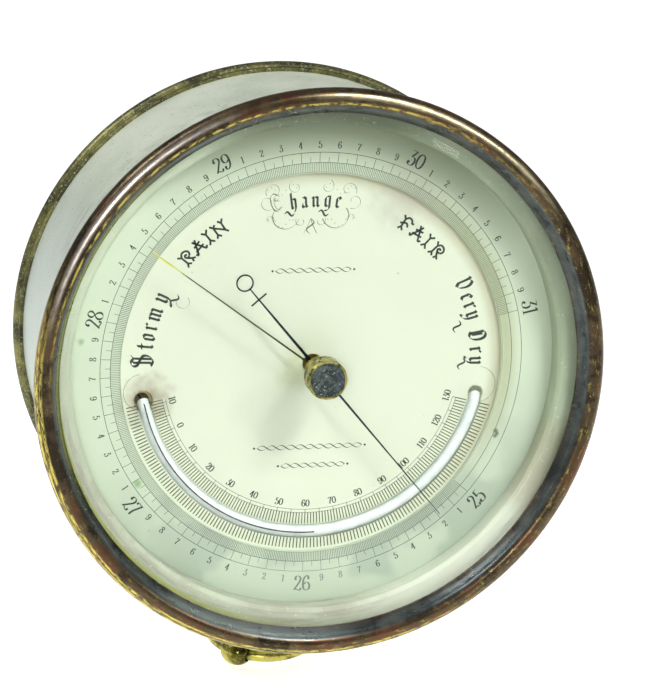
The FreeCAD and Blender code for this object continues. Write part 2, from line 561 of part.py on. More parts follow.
def make_pendant():
    seat_reach, shank = 69.4, 2.0
    bush = rod(3.0, pendant_point(65.6), pendant_point(67.9))
    bush = bush.fuse(rod(5.4, pendant_point(67.0), pendant_point(seat_reach)))
    bush = bush.cut(disc(DRUM_RADIUS, -20, 40).cut(rod(3.0, pendant_point(60), pendant_point(80))))
    node("pendant_bush", bush.cut(rod(shank + RUNNING_GAP, pendant_point(60), pendant_point(80))))

    flange = seat_reach + 0.3
    profile = [(0, 63.0), (shank, 63.0), (shank, flange), (4.4, flange), (4.4, 70.9), (3.2, 71.4),
               (2.0, 74.0), (1.9, 77.5), (2.6, 79.3), (2.6, 80.3), (0, 80.3)]
    cap = 2.9
    points = [Vector(r, 0, reach) for r, reach in profile]
    face = Part.Face(Part.makePolygon(points + points[:1]))
    neck = face.revolve(Vector(0, 0, 0), Vector(0, 0, 1), 360)
    body = neck.fuse(Part.makeSphere(BALL_RADIUS, Vector(0, 0, BALL_REACH)))
    reach = BALL_RADIUS + 0.7
    centre = Vector(0, 0, BALL_REACH)
    side = Vector(1, 0, 0)
    body = body.fuse(rod(cap, centre - side * reach, centre + side * reach)).removeSplitter()
    hole = Part.makeCone(1.6, 2.6, reach + 1.0, centre, side)
    hole = hole.fuse(Part.makeCone(1.6, 2.6, reach + 1.0, centre, side * -1))
    body = body.cut(hole)
    nut = upright(3.4, 63.6, 65.2).cut(upright(shank, 60, 70))
    ring_centre = Vector(0, SUSPENSION_RADIUS, BALL_REACH)
    ring = Part.makeTorus(SUSPENSION_RADIUS, WIRE_RADIUS, ring_centre, Vector(0, 0, 1))
    ring.rotate(centre, side, -RING_LIFT)
    placed = {"pendant_ball": body, "pendant_nut": nut, "suspension_ring": ring}
    for name, shape in placed.items():
        shape.rotate(Vector(0, 0, 0), Vector(0, 0, 1), 90.0 - RING_TURN)
        shape.rotate(Vector(0, 0, 0), AXIS, 90.0 - PENDANT_ANGLE)
        shape.translate(PENDANT_LINE)
        node(name, shape)


# ---------------------------------------------------------------- write the parts
make_case()
make_window()
make_thermometer()
make_base()
make_capsule()
make_spring_and_lever()
make_rocker()
make_arbor()
make_hands()
make_adjuster()
make_pendant()

os.makedirs("parts", exist_ok=True)
for name, shape in PARTS.items():
    shape.exportStep(os.path.join("parts", name + ".step"))
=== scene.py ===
"""Looks of the brass ship barometer: patinated bezel, silvered dial, curved thermometer and pendant ring."""
import json
import math

import bmesh
import bpy
from mathutils import Matrix, Vector, noise


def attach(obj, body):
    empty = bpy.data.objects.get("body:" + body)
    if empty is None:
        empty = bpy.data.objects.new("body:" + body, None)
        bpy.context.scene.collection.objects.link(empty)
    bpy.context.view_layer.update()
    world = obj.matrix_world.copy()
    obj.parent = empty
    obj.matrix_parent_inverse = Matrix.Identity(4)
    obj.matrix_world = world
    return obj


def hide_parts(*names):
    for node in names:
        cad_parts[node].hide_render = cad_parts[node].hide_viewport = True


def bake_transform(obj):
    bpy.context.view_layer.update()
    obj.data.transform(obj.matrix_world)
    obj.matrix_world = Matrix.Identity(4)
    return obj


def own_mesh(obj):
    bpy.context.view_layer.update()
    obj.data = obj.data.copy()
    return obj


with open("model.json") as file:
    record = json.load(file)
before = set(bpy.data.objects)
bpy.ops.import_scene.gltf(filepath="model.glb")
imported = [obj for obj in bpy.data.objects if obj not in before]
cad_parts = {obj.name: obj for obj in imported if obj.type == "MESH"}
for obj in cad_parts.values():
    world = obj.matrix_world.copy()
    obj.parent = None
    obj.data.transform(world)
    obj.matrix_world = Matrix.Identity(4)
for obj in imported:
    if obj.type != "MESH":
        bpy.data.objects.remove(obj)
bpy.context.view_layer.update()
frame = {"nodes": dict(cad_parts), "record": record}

# ---- dimensions, in millimetres as in the CAD part
MM = 0.001
WELD = 1e-7                 # vertices closer than this, in metres, become one
CASE_BACK = 51              # depths run backward from the front of the scale ring
SCALE_RADIUS = 56
DRUM_RADIUS = 67.9
DRUM_WALL = 1.5
DRUM_FRONT = -5.2
DRUM_BACK = 50
GLASS_FRONT = -10.4
GLASS_BACK = -6.4
GLASS_RADIUS = 69.4
BEVEL_INNER = 65.2
DIAL_OPENING = 64.3
DIAL_STEP = 50.6
PLATE_DEPTH = 1
PLATE_RADIUS = 62
PLATE_HOLE = 2.6
HATCH_RADIUS = 53.3
TICK_FOOT = 50.9
FIRST_INCH = 25
LAST_INCH = 31
PRESSURE_AT_TOP = 29.5
DEGREES_PER_INCH = 51.12
REST_PRESSURE = 25.19
SET_HAND_ANGLE = 143.9
THERMO_RADIUS = 45.2
THERMO_START = -169
THERMO_END = -12
THERMO_DEPTH = 0.25
THERMO_LINES = (39.4, 40.3)
COLDEST = -10
WARMEST = 130
TUBE_RADIUS = 1.7
PENDANT_ANGLE = -100.2
PENDANT_DEPTH = 14
BALL_REACH = 83.8           # from the case axis to the ball's centre
BALL_RADIUS = 3.6
SUSPENSION_RADIUS = 14.2
WIRE_RADIUS = 1.5
RING_TURN = 50
RING_LIFT = 18
ARBOR_RADIUS = 1.5
BOSS_RADIUS = 3.6
LEAF_HINGE = Vector((0, -28.4, 27))
LEAF_BEND = 1.5             # the leaf spring curves this far to each side of the clamp's edge
LEAF_CUTS = 3
MARK_LIFT = 0.02            # the waxed engraving lies this far in front of the silvering

ROUND = 288                 # steps of a full turn on the drum; the other large rings take twice as many
GRAIN = 0.35                # how fast the wear changes, in cycles per millimetre
ON_AXIS = Matrix.Translation((0, -CASE_BACK * MM, 0))


# ---- plane geometry
def polar(radius, angle):
    """Place on the dial; angles are in degrees and run anticlockwise from 3 o'clock."""
    turn = math.radians(angle)
    return Vector((radius * math.cos(turn), radius * math.sin(turn)))


def on_dial(flat, depth):
    """Point of the frame, in metres, at a place on the dial and a depth."""
    return ON_AXIS @ (Vector((flat[0], depth, flat[1])) * MM)


def wear(place):
    """Smooth random share from zero to one that depends on the place only."""
    return 0.5 + 0.5 * noise.noise(place)


def arc_between(first, middle, last, count=10):
    """Points of the circular arc from first through middle to last."""
    a, b, c = Vector(first), Vector(middle), Vector(last)
    twice = 2 * ((a - c).x * (b - c).y - (a - c).y * (b - c).x)
    pa, pb = (a - c).length_squared, (b - c).length_squared
    centre = c + Vector(((b - c).y * pa - (a - c).y * pb, (a - c).x * pb - (b - c).x * pa)) / twice
    start = math.atan2((a - centre).y, (a - centre).x)
    sweep = (math.atan2((c - centre).y, (c - centre).x) - start) % math.tau
    via = (math.atan2((b - centre).y, (b - centre).x) - start) % math.tau
    if via > sweep:
        sweep -= math.tau
    radius = (a - centre).length
    turns = [start + sweep * k / count for k in range(count + 1)]
    return [centre + radius * Vector((math.cos(turn), math.sin(turn))) for turn in turns]


SAME_POINT = 1e-6
NEARLY_STRAIGHT = 155       # a corner more open than this, in degrees, stays as it is
MOST_CUT = 0.45             # share of a side that a round may take


def eased(points, corner):
    """The closed polyline with each sharp corner replaced by a small round."""
    out = []
    for k, here in enumerate(points):
        before, after = points[k - 1] - here, points[(k + 1) % len(points)] - here
        if min(before.length, after.length) < SAME_POINT:
            continue
        if before.angle(after) > math.radians(NEARLY_STRAIGHT):
            out.append(here)
            continue
        start = here + before.normalized() * min(corner, before.length * MOST_CUT)
        end = here + after.normalized() * min(corner, after.length * MOST_CUT)
        out += [start, (start + 2 * here + end) / 4, end]
    return out


def outline(profile, corner):
    """Closed (radius, depth) polyline; a pair of points stands for an arc's middle and end."""
    points = [Vector(profile[0])]
    for step in profile[1:]:
        if isinstance(step[0], tuple):
            points += arc_between(points[-1], step[0], step[1])[1:]
        else:
            points.append(Vector(step))
    return eased(points, corner)


def smooth(points, count=7):
    """Catmull-Rom curve through the points."""
    ends = [points[0] * 2 - points[1]] + points + [points[-1] * 2 - points[-2]]
    out = []
    for k in range(len(points) - 1):
        a, b, c, d = ends[k:k + 4]
        for step in range(count):
            t = step / count
            out.append(0.5 * (2 * b + (c - a) * t + (2 * a - 5 * b + 4 * c - d) * t * t
                              + (3 * b - a - 3 * c + d) * t ** 3))
    return out + [points[-1]]


# ---- mesh builders
def add_turned(bm, points, where=ON_AXIS, steps=ROUND, worn=0):
    """Turn closed (radius, depth) points about local Y. Worn is the most that the surface is pulled in."""
    rings = []
    for k in range(steps):
        turn = math.tau * k / steps
        ring = []
        for radius, depth in points:
            if worn:
                place = Vector((radius * math.cos(turn), depth, radius * math.sin(turn)))
                radius -= worn * wear(place * GRAIN)
            local = Vector((radius * math.cos(turn), depth, radius * math.sin(turn))) * MM
            ring.append(bm.verts.new(where @ local))
        rings.append(ring)
    for k in range(steps):
        here, there = rings[k], rings[(k + 1) % steps]
        for i in range(len(points)):
            j = (i + 1) % len(points)
            bm.faces.new((here[i], here[j], there[j], there[i]))


def add_blade(bm, corners, front, back):
    """Flat plate with (x, z) corners in dial millimetres and eased edges."""
    near, far = ([bm.verts.new(on_dial(corner, depth)) for corner in corners] for depth in (front, back))
    faces = [bm.faces.new(near), bm.faces.new(far[::-1])]
    for k in range(len(corners)):
        j = (k + 1) % len(corners)
        faces.append(bm.faces.new((near[k], far[k], far[j], near[j])))
    edges = list(dict.fromkeys(e for f in faces for e in f.edges))
    ease = 0.04 * MM
    bmesh.ops.bevel(bm, geom=edges, offset=ease, segments=2, profile=0.6, affect="EDGES", clamp_overlap=True)


def add_sweep(bm, points, radii, sides=20, closed=False):
    """Tube of changing radius along a path in metres."""
    count = len(points)
    side = None
    rings = []
    for k, here in enumerate(points):
        if closed:
            along = (points[(k + 1) % count] - points[k - 1]).normalized()
        else:
            along = (points[min(k + 1, count - 1)] - points[max(k - 1, 0)]).normalized()
        if side is None:
            side = along.orthogonal().normalized()
        side = (side - along * side.dot(along)).normalized()
        up = along.cross(side)
        rings.append([bm.verts.new(here + (side * math.cos(math.tau * s / sides)
                                           + up * math.sin(math.tau * s / sides)) * radii[k])
                      for s in range(sides)])
    for k in range(count if closed else count - 1):
        here, there = rings[k], rings[(k + 1) % count]
        for s in range(sides):
            t = (s + 1) % sides
            bm.faces.new((here[s], here[t], there[t], there[s]))
    if not closed:
        bm.faces.new(rings[0])
        bm.faces.new(rings[-1][::-1])


def add_object(name, data):
    made = bpy.data.objects.new(name, data)
    bpy.context.scene.collection.objects.link(made)
    return made


def mesh_object(name, bm, material):
    mesh = bpy.data.meshes.new(name)
    bm.to_mesh(mesh)
    bm.free()
    mesh.materials.append(material)
    return add_object(name, mesh)


def piece(name, bm, body, slot, finish=None, replaces=(), sharp=35, solid=True, bend=None):
    """Finish a mesh as a piece that rides on a body of the frame; given a bend, it is left unattached with
    its transform baked.
    """
    if solid:
        bmesh.ops.remove_doubles(bm, verts=bm.verts, dist=WELD)
        bmesh.ops.recalc_face_normals(bm, faces=bm.faces)
    made = mesh_object(name, bm, FINISH[finish or slot])
    made.data.shade_smooth()
    made.data.set_sharp_from_angle(angle=math.radians(sharp))
    if bend:
        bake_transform(made)
    else:
        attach(made, body)
    if replaces:
        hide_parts(*replaces)
    return made


def turned_piece(name, profile, body, slot, where=ON_AXIS, steps=2 * ROUND, worn=0, **more):
    """A piece turned from one closed profile."""
    bm = bmesh.new()
    add_turned(bm, profile, where, steps, worn=worn)
    piece(name, bm, body, slot, **more)


# ---- material helpers
class Paint:
    """One node material. Its colour is laid in coats under masks that run from zero to one."""

    def __init__(self, name):
        self.material = bpy.data.materials.new(name)
        self.material.use_nodes = True
        self.tree = self.material.node_tree
        self.tree.nodes.clear()
        self.colour = None
        self.here = self.node("TexCoord").outputs["Object"]
        self.x, self.y, self.z = self.node("SeparateXYZ", {0: self.here}).outputs
        self.radius = self.length(self.x, self.z)

    def node(self, kind, inputs=None, **settings):
        made = self.tree.nodes.new("ShaderNode" + kind)
        for key, value in settings.items():
            setattr(made, key, value)
        for key, value in (inputs or {}).items():
            if isinstance(value, bpy.types.NodeSocket):
                self.tree.links.new(value, made.inputs[key])
            else:
                made.inputs[key].default_value = value
        return made

    def maths(self, operation, a, b=0):
        return self.node("Math", {0: a, 1: b}, operation=operation).outputs[0]

    def times(self, first, *others):
        for other in others:
            first = self.maths("MULTIPLY", first, other)
        return first

    def plus(self, a, b):
        return self.maths("ADD", a, b)

    def either(self, a, b):
        return self.maths("MAXIMUM", a, b)

    def length(self, a, b):
        return self.maths("SQRT", self.plus(self.times(a, a), self.times(b, b)))

    def ramp(self, value, low, high, to_low=0, to_high=1):
        """Smooth step of a value between two limits."""
        made = self.node("MapRange", {"Value": value, "From Min": low, "From Max": high,
                                      "To Min": to_low, "To Max": to_high}, interpolation_type="SMOOTHSTEP")
        return made.outputs["Result"]

    def noise(self, scale, detail=4, roughness=0.55, vector=None, distortion=0):
        made = self.node("TexNoise", {"Vector": vector or self.here, "Scale": scale, "Detail": detail,
                                      "Roughness": roughness, "Distortion": distortion})
        return made.outputs["Fac"]

    def streaks(self, along, across, detail, roughness):
        """Noise drawn out round the case axis."""
        vector = self.node("CombineXYZ", {
            0: self.times(self.maths("DIVIDE", self.x, self.radius), along),
            1: self.times(self.maths("DIVIDE", self.z, self.radius), along),
            2: self.times(self.plus(self.radius, self.y), across)})
        return self.noise(1, detail, roughness, vector=vector.outputs[0])

    def side(self, angle, low, high, to_low=0, to_high=1):
        """Ramp over the cosine of the angle between this place and a direction on the dial."""
        turn = math.radians(angle)
        dot = self.plus(self.times(self.x, math.cos(turn)), self.times(self.z, math.sin(turn)))
        return self.ramp(self.maths("DIVIDE", dot, self.radius), low, high, to_low, to_high)

    def between(self, low, high):
        """Ramp over the radius, in millimetres. It falls outward if the first limit is the larger."""
        return self.ramp(self.radius, low * MM, high * MM)

    def deep(self, low, high):
        """Ramp over the depth, in millimetres behind the dial's front."""
        return self.ramp(self.y, (low - CASE_BACK) * MM, (high - CASE_BACK) * MM)

    def line(self, radius, width):
        """One on a radius, falling to nothing a width away, in millimetres."""
        off = self.maths("ABSOLUTE", self.plus(self.radius, -radius * MM))
        return self.ramp(off, 0, width * MM, 1, 0)

    def spot(self, x, z, radius):
        """Soft round patch at a place on the dial, in millimetres."""
        far = self.length(self.plus(self.x, -x * MM), self.plus(self.z, -z * MM))
        wander = self.times(self.plus(self.noise(300), -0.5), radius * MM)
        return self.ramp(self.plus(far, wander), 0, radius * MM, 1, 0)

    def mix(self, mask, a, b):
        a, b = (tone if isinstance(tone, bpy.types.NodeSocket) else (*tone, 1) for tone in (a, b))
        return self.node("Mix", {0: mask, 6: a, 7: b}, data_type="RGBA").outputs[2]

    def base(self, mask, dark, light):
        self.colour = self.mix(mask, dark, light)

    def coat(self, mask, tone, strength=1):
        """Lay a tone over the colour where the mask is one."""
        self.colour = self.mix(self.times(mask, strength), self.colour, tone)

    def stain(self, field, low, high, tone, strength=1):
        self.coat(self.ramp(field, low, high), tone, strength)

    def bump(self, height, depth, strength, below=None):
        inputs = {"Height": height, "Distance": depth * MM, "Strength": strength}
        if below is not None:
            inputs["Normal"] = below
        return self.node("Bump", inputs).outputs["Normal"]

    def surface(self, metallic, rough, *bumps, middle=(0.3, 0.7)):
        """Finish with (field, least, most) roughness and (field, depth, strength) bumps, lowest first."""
        field, smoothest, roughest = rough
        normal = None
        for row in bumps:
            normal = self.bump(*row, normal)
        return self.finish(self.node("BsdfPrincipled", {
            "Base Color": self.colour, "Metallic": metallic, "Normal": normal,
            "Roughness": self.ramp(field, *middle, smoothest, roughest)}))

    def finish(self, shader):
        self.node("OutputMaterial", {"Surface": shader.outputs[0]})
        return self.material


def patinated_brass():
    """Dark bronze tube with worn gilt lines, painted highlights on its crest and a slate-coloured cove with
    a painted highlight.
    """
    paint = Paint("patinated_brass")
    cloud, patch = paint.noise(150, 6, 0.6), paint.noise(70, 6, 0.7)
    speck = paint.noise(2200, 3, 0.7)
    streak, fleck = paint.streaks(26, 1500, 6, 0.7), paint.streaks(24, 1300, 5, 0.75)
    paint.base(paint.ramp(cloud, 0.36, 0.66), (0.082, 0.06, 0.036), (0.122, 0.088, 0.046))
    paint.stain(streak, 0.54, 0.68, (0.17, 0.125, 0.06), 0.5)
    paint.stain(patch, 0.5, 0.58, (0.03, 0.022, 0.014), 0.8)
    paint.stain(patch, 0.47, 0.41, (0.15, 0.062, 0.032), 0.6)
    gold = paint.times(paint.ramp(fleck, 0.55, 0.65), paint.side(-5, -0.3, 0.5, 0.25, 0.7))
    paint.coat(gold, (0.46, 0.37, 0.1))
    front = paint.deep(-9.2, -11.8)
    slate = paint.mix(paint.ramp(cloud, 0.35, 0.7), (0.07, 0.082, 0.086), (0.13, 0.15, 0.152))
    # Painted highlight: the cove is painted pale blue-grey along its bottom.
    slate = paint.mix(paint.side(-104, 0.9, 0.99, 0, 0.8), slate, (0.36, 0.41, 0.42))
    lip = paint.times(paint.between(69.4, 69), paint.side(168, 0.72, 0.95),
                      paint.ramp(speck, 0.35, 0.55, 0.4, 1))
    paint.coat(paint.times(paint.between(70.9, 70.2), front), paint.mix(lip, slate, (0.6, 0.62, 0.16)))
    outer_lines = paint.times(paint.either(paint.line(73.7, 0.6), paint.line(74.6, 0.6)),
                              paint.side(-128, 0.1, 0.7), front)
    inner_line = paint.times(paint.line(71.3, 0.5), paint.side(112, 0.2, 0.9))
    worn = paint.times(paint.either(outer_lines, inner_line), paint.ramp(streak, 0.42, 0.56))
    chips = paint.times(paint.ramp(speck, 0.64, 0.7), paint.ramp(cloud, 0.5, 0.6))
    paint.coat(paint.either(worn, chips), (0.74, 0.62, 0.14))
    # Painted highlights: the crest is painted lighter at the upper left and the upper right.
    crest_highlight = paint.times(paint.line(73.2, 1.1), front, paint.ramp(fleck, 0.36, 0.58, 0.5, 1))
    for angle, tone in ((139, (0.74, 0.65, 0.57)), (64, (0.8, 0.7, 0.44))):
        paint.coat(paint.times(crest_highlight, paint.side(angle, 0.84, 0.985)), tone)
    return paint.surface(0.85, (cloud, 0.24, 0.36), (streak, 0.02, 0.35), (speck, 0.03, 0.4))


def rear_brass():
    paint = Paint("worn_rear_brass")
    speck = paint.noise(1500, 4, 0.75)
    cloud = paint.noise(140, 6, 0.65)
    paint.base(paint.ramp(cloud, 0.35, 0.65), (0.055, 0.058, 0.028), (0.24, 0.23, 0.085))
    paint.stain(speck, 0.56, 0.66, (0.55, 0.55, 0.33))
    paint.coat(paint.ramp(paint.streaks(20, 1200, 4, 0.6), 0.6, 0.72), (0.06, 0.06, 0.03))
    return paint.surface(0.75, (speck, 0.3, 0.55), (speck, 0.04, 0.6))


def silvered_case():
    """Silvered drum, stained and scuffed toward the bezel, with painted shade on its left side."""
    paint = Paint("silvered_case")
    cloud, speck = paint.noise(45, 5, 0.6), paint.noise(1300, 3, 0.7)
    flat = paint.node("VectorMath", {0: paint.here, 1: (60, 2600, 60)}, operation="MULTIPLY")
    scratch = paint.noise(1, 3, 0.6, vector=flat.outputs[0])
    near_bezel = paint.deep(33, 5)
    paint.base(paint.ramp(cloud, 0.3, 0.7), (0.7, 0.78, 0.62), (0.85, 0.91, 0.76))
    # Painted shade: the drum is painted darker blue-grey on its left side.
    paint.coat(paint.side(186, 0.6, 0.98, 0, 0.6), (0.46, 0.54, 0.53))
    stain = paint.ramp(paint.noise(130, 5, 0.6), 0.52, 0.68)
    paint.coat(paint.times(stain, near_bezel), (0.34, 0.37, 0.27), 0.55)
    scuffs = paint.times(paint.ramp(scratch, 0.5, 0.58), paint.ramp(paint.noise(75, 3), 0.5, 0.6))
    paint.coat(paint.times(scuffs, near_bezel), (0.24, 0.27, 0.24), 0.8)
    paint.stain(speck, 0.63, 0.7, (0.24, 0.26, 0.17))
    return paint.surface(0.2, (cloud, 0.38, 0.52), (speck, 0.02, 0.4), (scratch, 0.02, 0.4))


def back_brass():
    paint = Paint("lacquered_back_brass")
    cloud, speck = paint.noise(60, 6, 0.62), paint.noise(900, 3, 0.7)
    grain = paint.streaks(1.5, 5200, 3, 0.6)
    paint.base(paint.ramp(cloud, 0.3, 0.7), (0.42, 0.31, 0.12), (0.52, 0.4, 0.17))
    paint.stain(grain, 0.42, 0.62, (0.26, 0.19, 0.075), 0.3)
    paint.stain(speck, 0.62, 0.75, (0.16, 0.11, 0.04))
    paint.coat(paint.times(paint.between(60, 65.2), paint.ramp(cloud, 0.4, 0.6)), (0.15, 0.12, 0.05))
    return paint.surface(0.9, (cloud, 0.22, 0.38), (speck, 0.02, 0.4), (grain, 0.02, 0.6))


def dial_stains():
    """Place, radius, tone and strength of each stain, and of the painted shade round the knob, in dial
    millimetres.
    """
    hole, smudge, green = polar(THERMO_RADIUS, THERMO_START), polar(49, 62), polar(61.5, 172.6)
    black = (0.05, 0.06, 0.05)
    return ((hole + Vector((0.8, 0)), 9.5, (0.32, 0.27, 0.19), 0.9), (hole, 3.6, (0.06, 0.05, 0.035), 0.9),
            (smudge, 13, (0.42, 0.38, 0.33), 0.45), ((-45.6, -30.3), 1.5, (0.16, 0.33, 0.1), 0.7),
            (green, 1.6, (0.12, 0.3, 0.14), 0.7), ((49.9, -19.6), 0.9, black, 0.8),
            ((50.3, -20.4), 0.7, black, 0.8), ((49.8, -21), 0.9, black, 0.8),
            # The last two patches are painted shade round the knob.
            ((0, 4), 10, (0.5, 0.52, 0.33), 0.2), ((-4.5, -2), 7.5, (0.42, 0.46, 0.22), 0.5))


def silvered_dial():
    """Silvering of the sunk plate and the greener scale ring, mottled darker toward the bottom, with painted
    shade and shadows.
    """
    paint = Paint("silvered_dial")
    cloud, fine = paint.noise(55, 5, 0.55), paint.noise(2600, 3, 0.6)
    grain = paint.streaks(9, 3200, 3, 0.6)
    outside, inside = paint.between(50.5, 50.7), paint.between(50.6, 50.5)
    paint.base(cloud, (0.665, 0.705, 0.575), (0.715, 0.75, 0.63))
    # The scale ring is greener than the plate and painted darker, partly as painted shade under the bezel.
    paint.coat(outside, paint.mix(cloud, (0.56, 0.635, 0.5), (0.61, 0.685, 0.55)))
    mottle = paint.ramp(paint.noise(38, 3, 0.5), 0.44, 0.54, 0.4, 1)
    paint.coat(paint.times(outside, paint.side(-80, 0.1, 0.9), mottle), (0.37, 0.43, 0.36), 0.9)
    # Painted shade: olive on the right of the scale ring.
    paint.coat(paint.times(paint.line(52, 4), paint.side(15, 0.5, 1), outside), (0.42, 0.45, 0.28), 0.8)
    # Painted shadow of the step, inside the sunk plate's edge at the upper right.
    step_shadow = paint.times(paint.between(46.2, 50.6), inside, paint.side(35, -0.2, 0.75))
    paint.coat(step_shadow, (0.42, 0.4, 0.26), 0.75)
    # Painted shadow of the bezel lip across the top of the dial.
    paint.coat(paint.times(paint.between(50.5, 64), paint.side(82, 0.55, 0.97)), (0.16, 0.185, 0.11), 0.75)
    for place, radius, tone, strength in dial_stains():
        paint.coat(paint.spot(*place, radius), tone, strength)
    paint.stain(paint.noise(700, 2, 0.5), 0.72, 0.78, (0.35, 0.33, 0.25), 0.5)
    return paint.surface(0.12, (cloud, 0.5, 0.62), (fine, 0.006, 0.3), (grain, 0.006, 0.3))


def reflector_silver():
    """Silvered wall round the dial: pinkish below, painted shade at the upper right and a painted shadow at
    the top, yellow on its flange.
    """
    paint = Paint("worn_reflector")
    streak, speck = paint.streaks(5, 700, 5, 0.65), paint.noise(1600, 3, 0.7)
    cloud = paint.noise(120, 5, 0.6)
    paint.base(paint.ramp(cloud, 0.35, 0.65), (0.5, 0.57, 0.43), (0.56, 0.62, 0.48))
    pink = paint.times(paint.ramp(streak, 0.4, 0.64, 0.5, 1), paint.side(-115, -0.1, 0.8))
    paint.coat(pink, (0.37, 0.36, 0.3))
    paint.coat(paint.side(-48, 0.8, 0.97), (0.7, 0.72, 0.63), 0.8)
    paint.coat(paint.side(-24, 0.97, 0.998), (0.4, 0.33, 0.24), 0.6)
    # Painted shade at the upper right.
    paint.coat(paint.side(38, 0.1, 0.8), (0.24, 0.29, 0.19), 0.55)
    # Painted shadow at the top, under the bezel lip.
    paint.coat(paint.side(90, 0.86, 0.99), (0.11, 0.13, 0.08), 0.75)
    yellow = paint.times(paint.between(67.2, 67.7), paint.side(190, 0, 0.9))
    paint.coat(paint.times(yellow, paint.ramp(speck, 0.35, 0.6, 0.6, 1)), (0.42, 0.45, 0.1))
    paint.stain(speck, 0.64, 0.7, (0.74, 0.76, 0.62))
    return paint.surface(0.12, (streak, 0.6, 0.8), (streak, 0.03, 0.5))


def clear_glass(name, colour, ior):
    """Slightly dusty glass that lets the lamps through to what lies behind it."""
    paint = Paint(name)
    dust = 0.02
    smear = paint.noise(70, 5, 0.6)
    rough = paint.plus(paint.ramp(smear, 0.4, 0.75, 0, dust),
                       paint.ramp(paint.noise(1400, 2, 0.6), 0.68, 0.74, 0, dust))
    glass = paint.node("BsdfPrincipled", {
        "Base Color": (*colour, 1), "Roughness": rough, "IOR": ior, "Transmission Weight": 1,
        "Normal": paint.bump(smear, 0.01, 0.15)})
    clear = paint.node("BsdfTransparent", {0: (*colour, 1)})
    shadow = paint.node("LightPath").outputs["Is Shadow Ray"]
    return paint.finish(paint.node("MixShader", {0: shadow, 1: glass.outputs[0], 2: clear.outputs[0]}))


def metal(name, dark, light, metallic=0.9, rough=(0.3, 0.5), scale=300, bump=0.02):
    """General worn metal: two tones, grime in the hollows and fine pitting."""
    paint = Paint(name)
    cloud, speck = paint.noise(scale, 6, 0.62), paint.noise(scale * 9, 3, 0.7)
    paint.base(paint.ramp(cloud, 0.36, 0.64), dark, light)
    paint.stain(speck, 0.64, 0.76, tuple(v * 0.35 for v in dark))
    return paint.surface(metallic, (cloud, *rough), (cloud, bump * 2, 0.4), (speck, bump, 0.6))


def engraving_wax(name, dark, light):
    """Wax in the engraving, faded at the bottom of the scale ring."""
    paint = Paint(name)
    cloud = paint.noise(500, 4, 0.6)
    paint.base(paint.ramp(cloud, 0.4, 0.75), dark, light)
    paint.coat(paint.times(paint.side(-91, 0.93, 0.985), paint.between(52, 56)), (0.2, 0.24, 0.19), 0.8)
    return paint.surface(0, (cloud, 0.5, 0.8), (cloud, 0.02, 0.5))


def knob_face():
    """Dusty blued inlay, bluer toward its right edge."""
    paint = Paint("dusty_blued_face")
    cloud, speck = paint.noise(420, 5, 0.7, distortion=1.5), paint.noise(1700, 3, 0.75)
    paint.base(paint.ramp(cloud, 0.45, 0.62), (0.022, 0.035, 0.035), (0.105, 0.14, 0.125))
    paint.stain(speck, 0.6, 0.66, (0.55, 0.62, 0.6))
    paint.stain(paint.x, 0.001, 0.005, (0.05, 0.065, 0.12), 0.6)
    return paint.surface(0.3, (cloud, 0.4, 0.75), (speck, 0.08, 0.6), (cloud, 0.25, 0.8))


def set_hand_gilt():
    """Bright gilt at the tip as a painted highlight, dark olive from there to the boss."""
    paint = Paint("set_hand_gilt")
    cloud = paint.noise(600, 5, 0.6)
    tip = paint.ramp(paint.plus(paint.radius, paint.times(cloud, 0.006)), 0.0455, 0.0485)
    paint.base(tip, (0.085, 0.085, 0.025), (0.74, 0.72, 0.1))
    paint.stain(cloud, 0.6, 0.75, (0.1, 0.08, 0.03))
    return paint.surface(0.75, (cloud, 0.3, 0.5), (cloud, 0.02, 0.5))


def leather():
    paint = Paint("washer_leather")
    cells = paint.node("TexVoronoi", {"Vector": paint.here, "Scale": 2200}).outputs["Distance"]
    paint.base(cells, (0.05, 0.035, 0.02), (0.14, 0.09, 0.05))
    return paint.surface(0, (cells, 0.5, 0.8), (cells, 0.05, 0.6), middle=(0, 0.8))


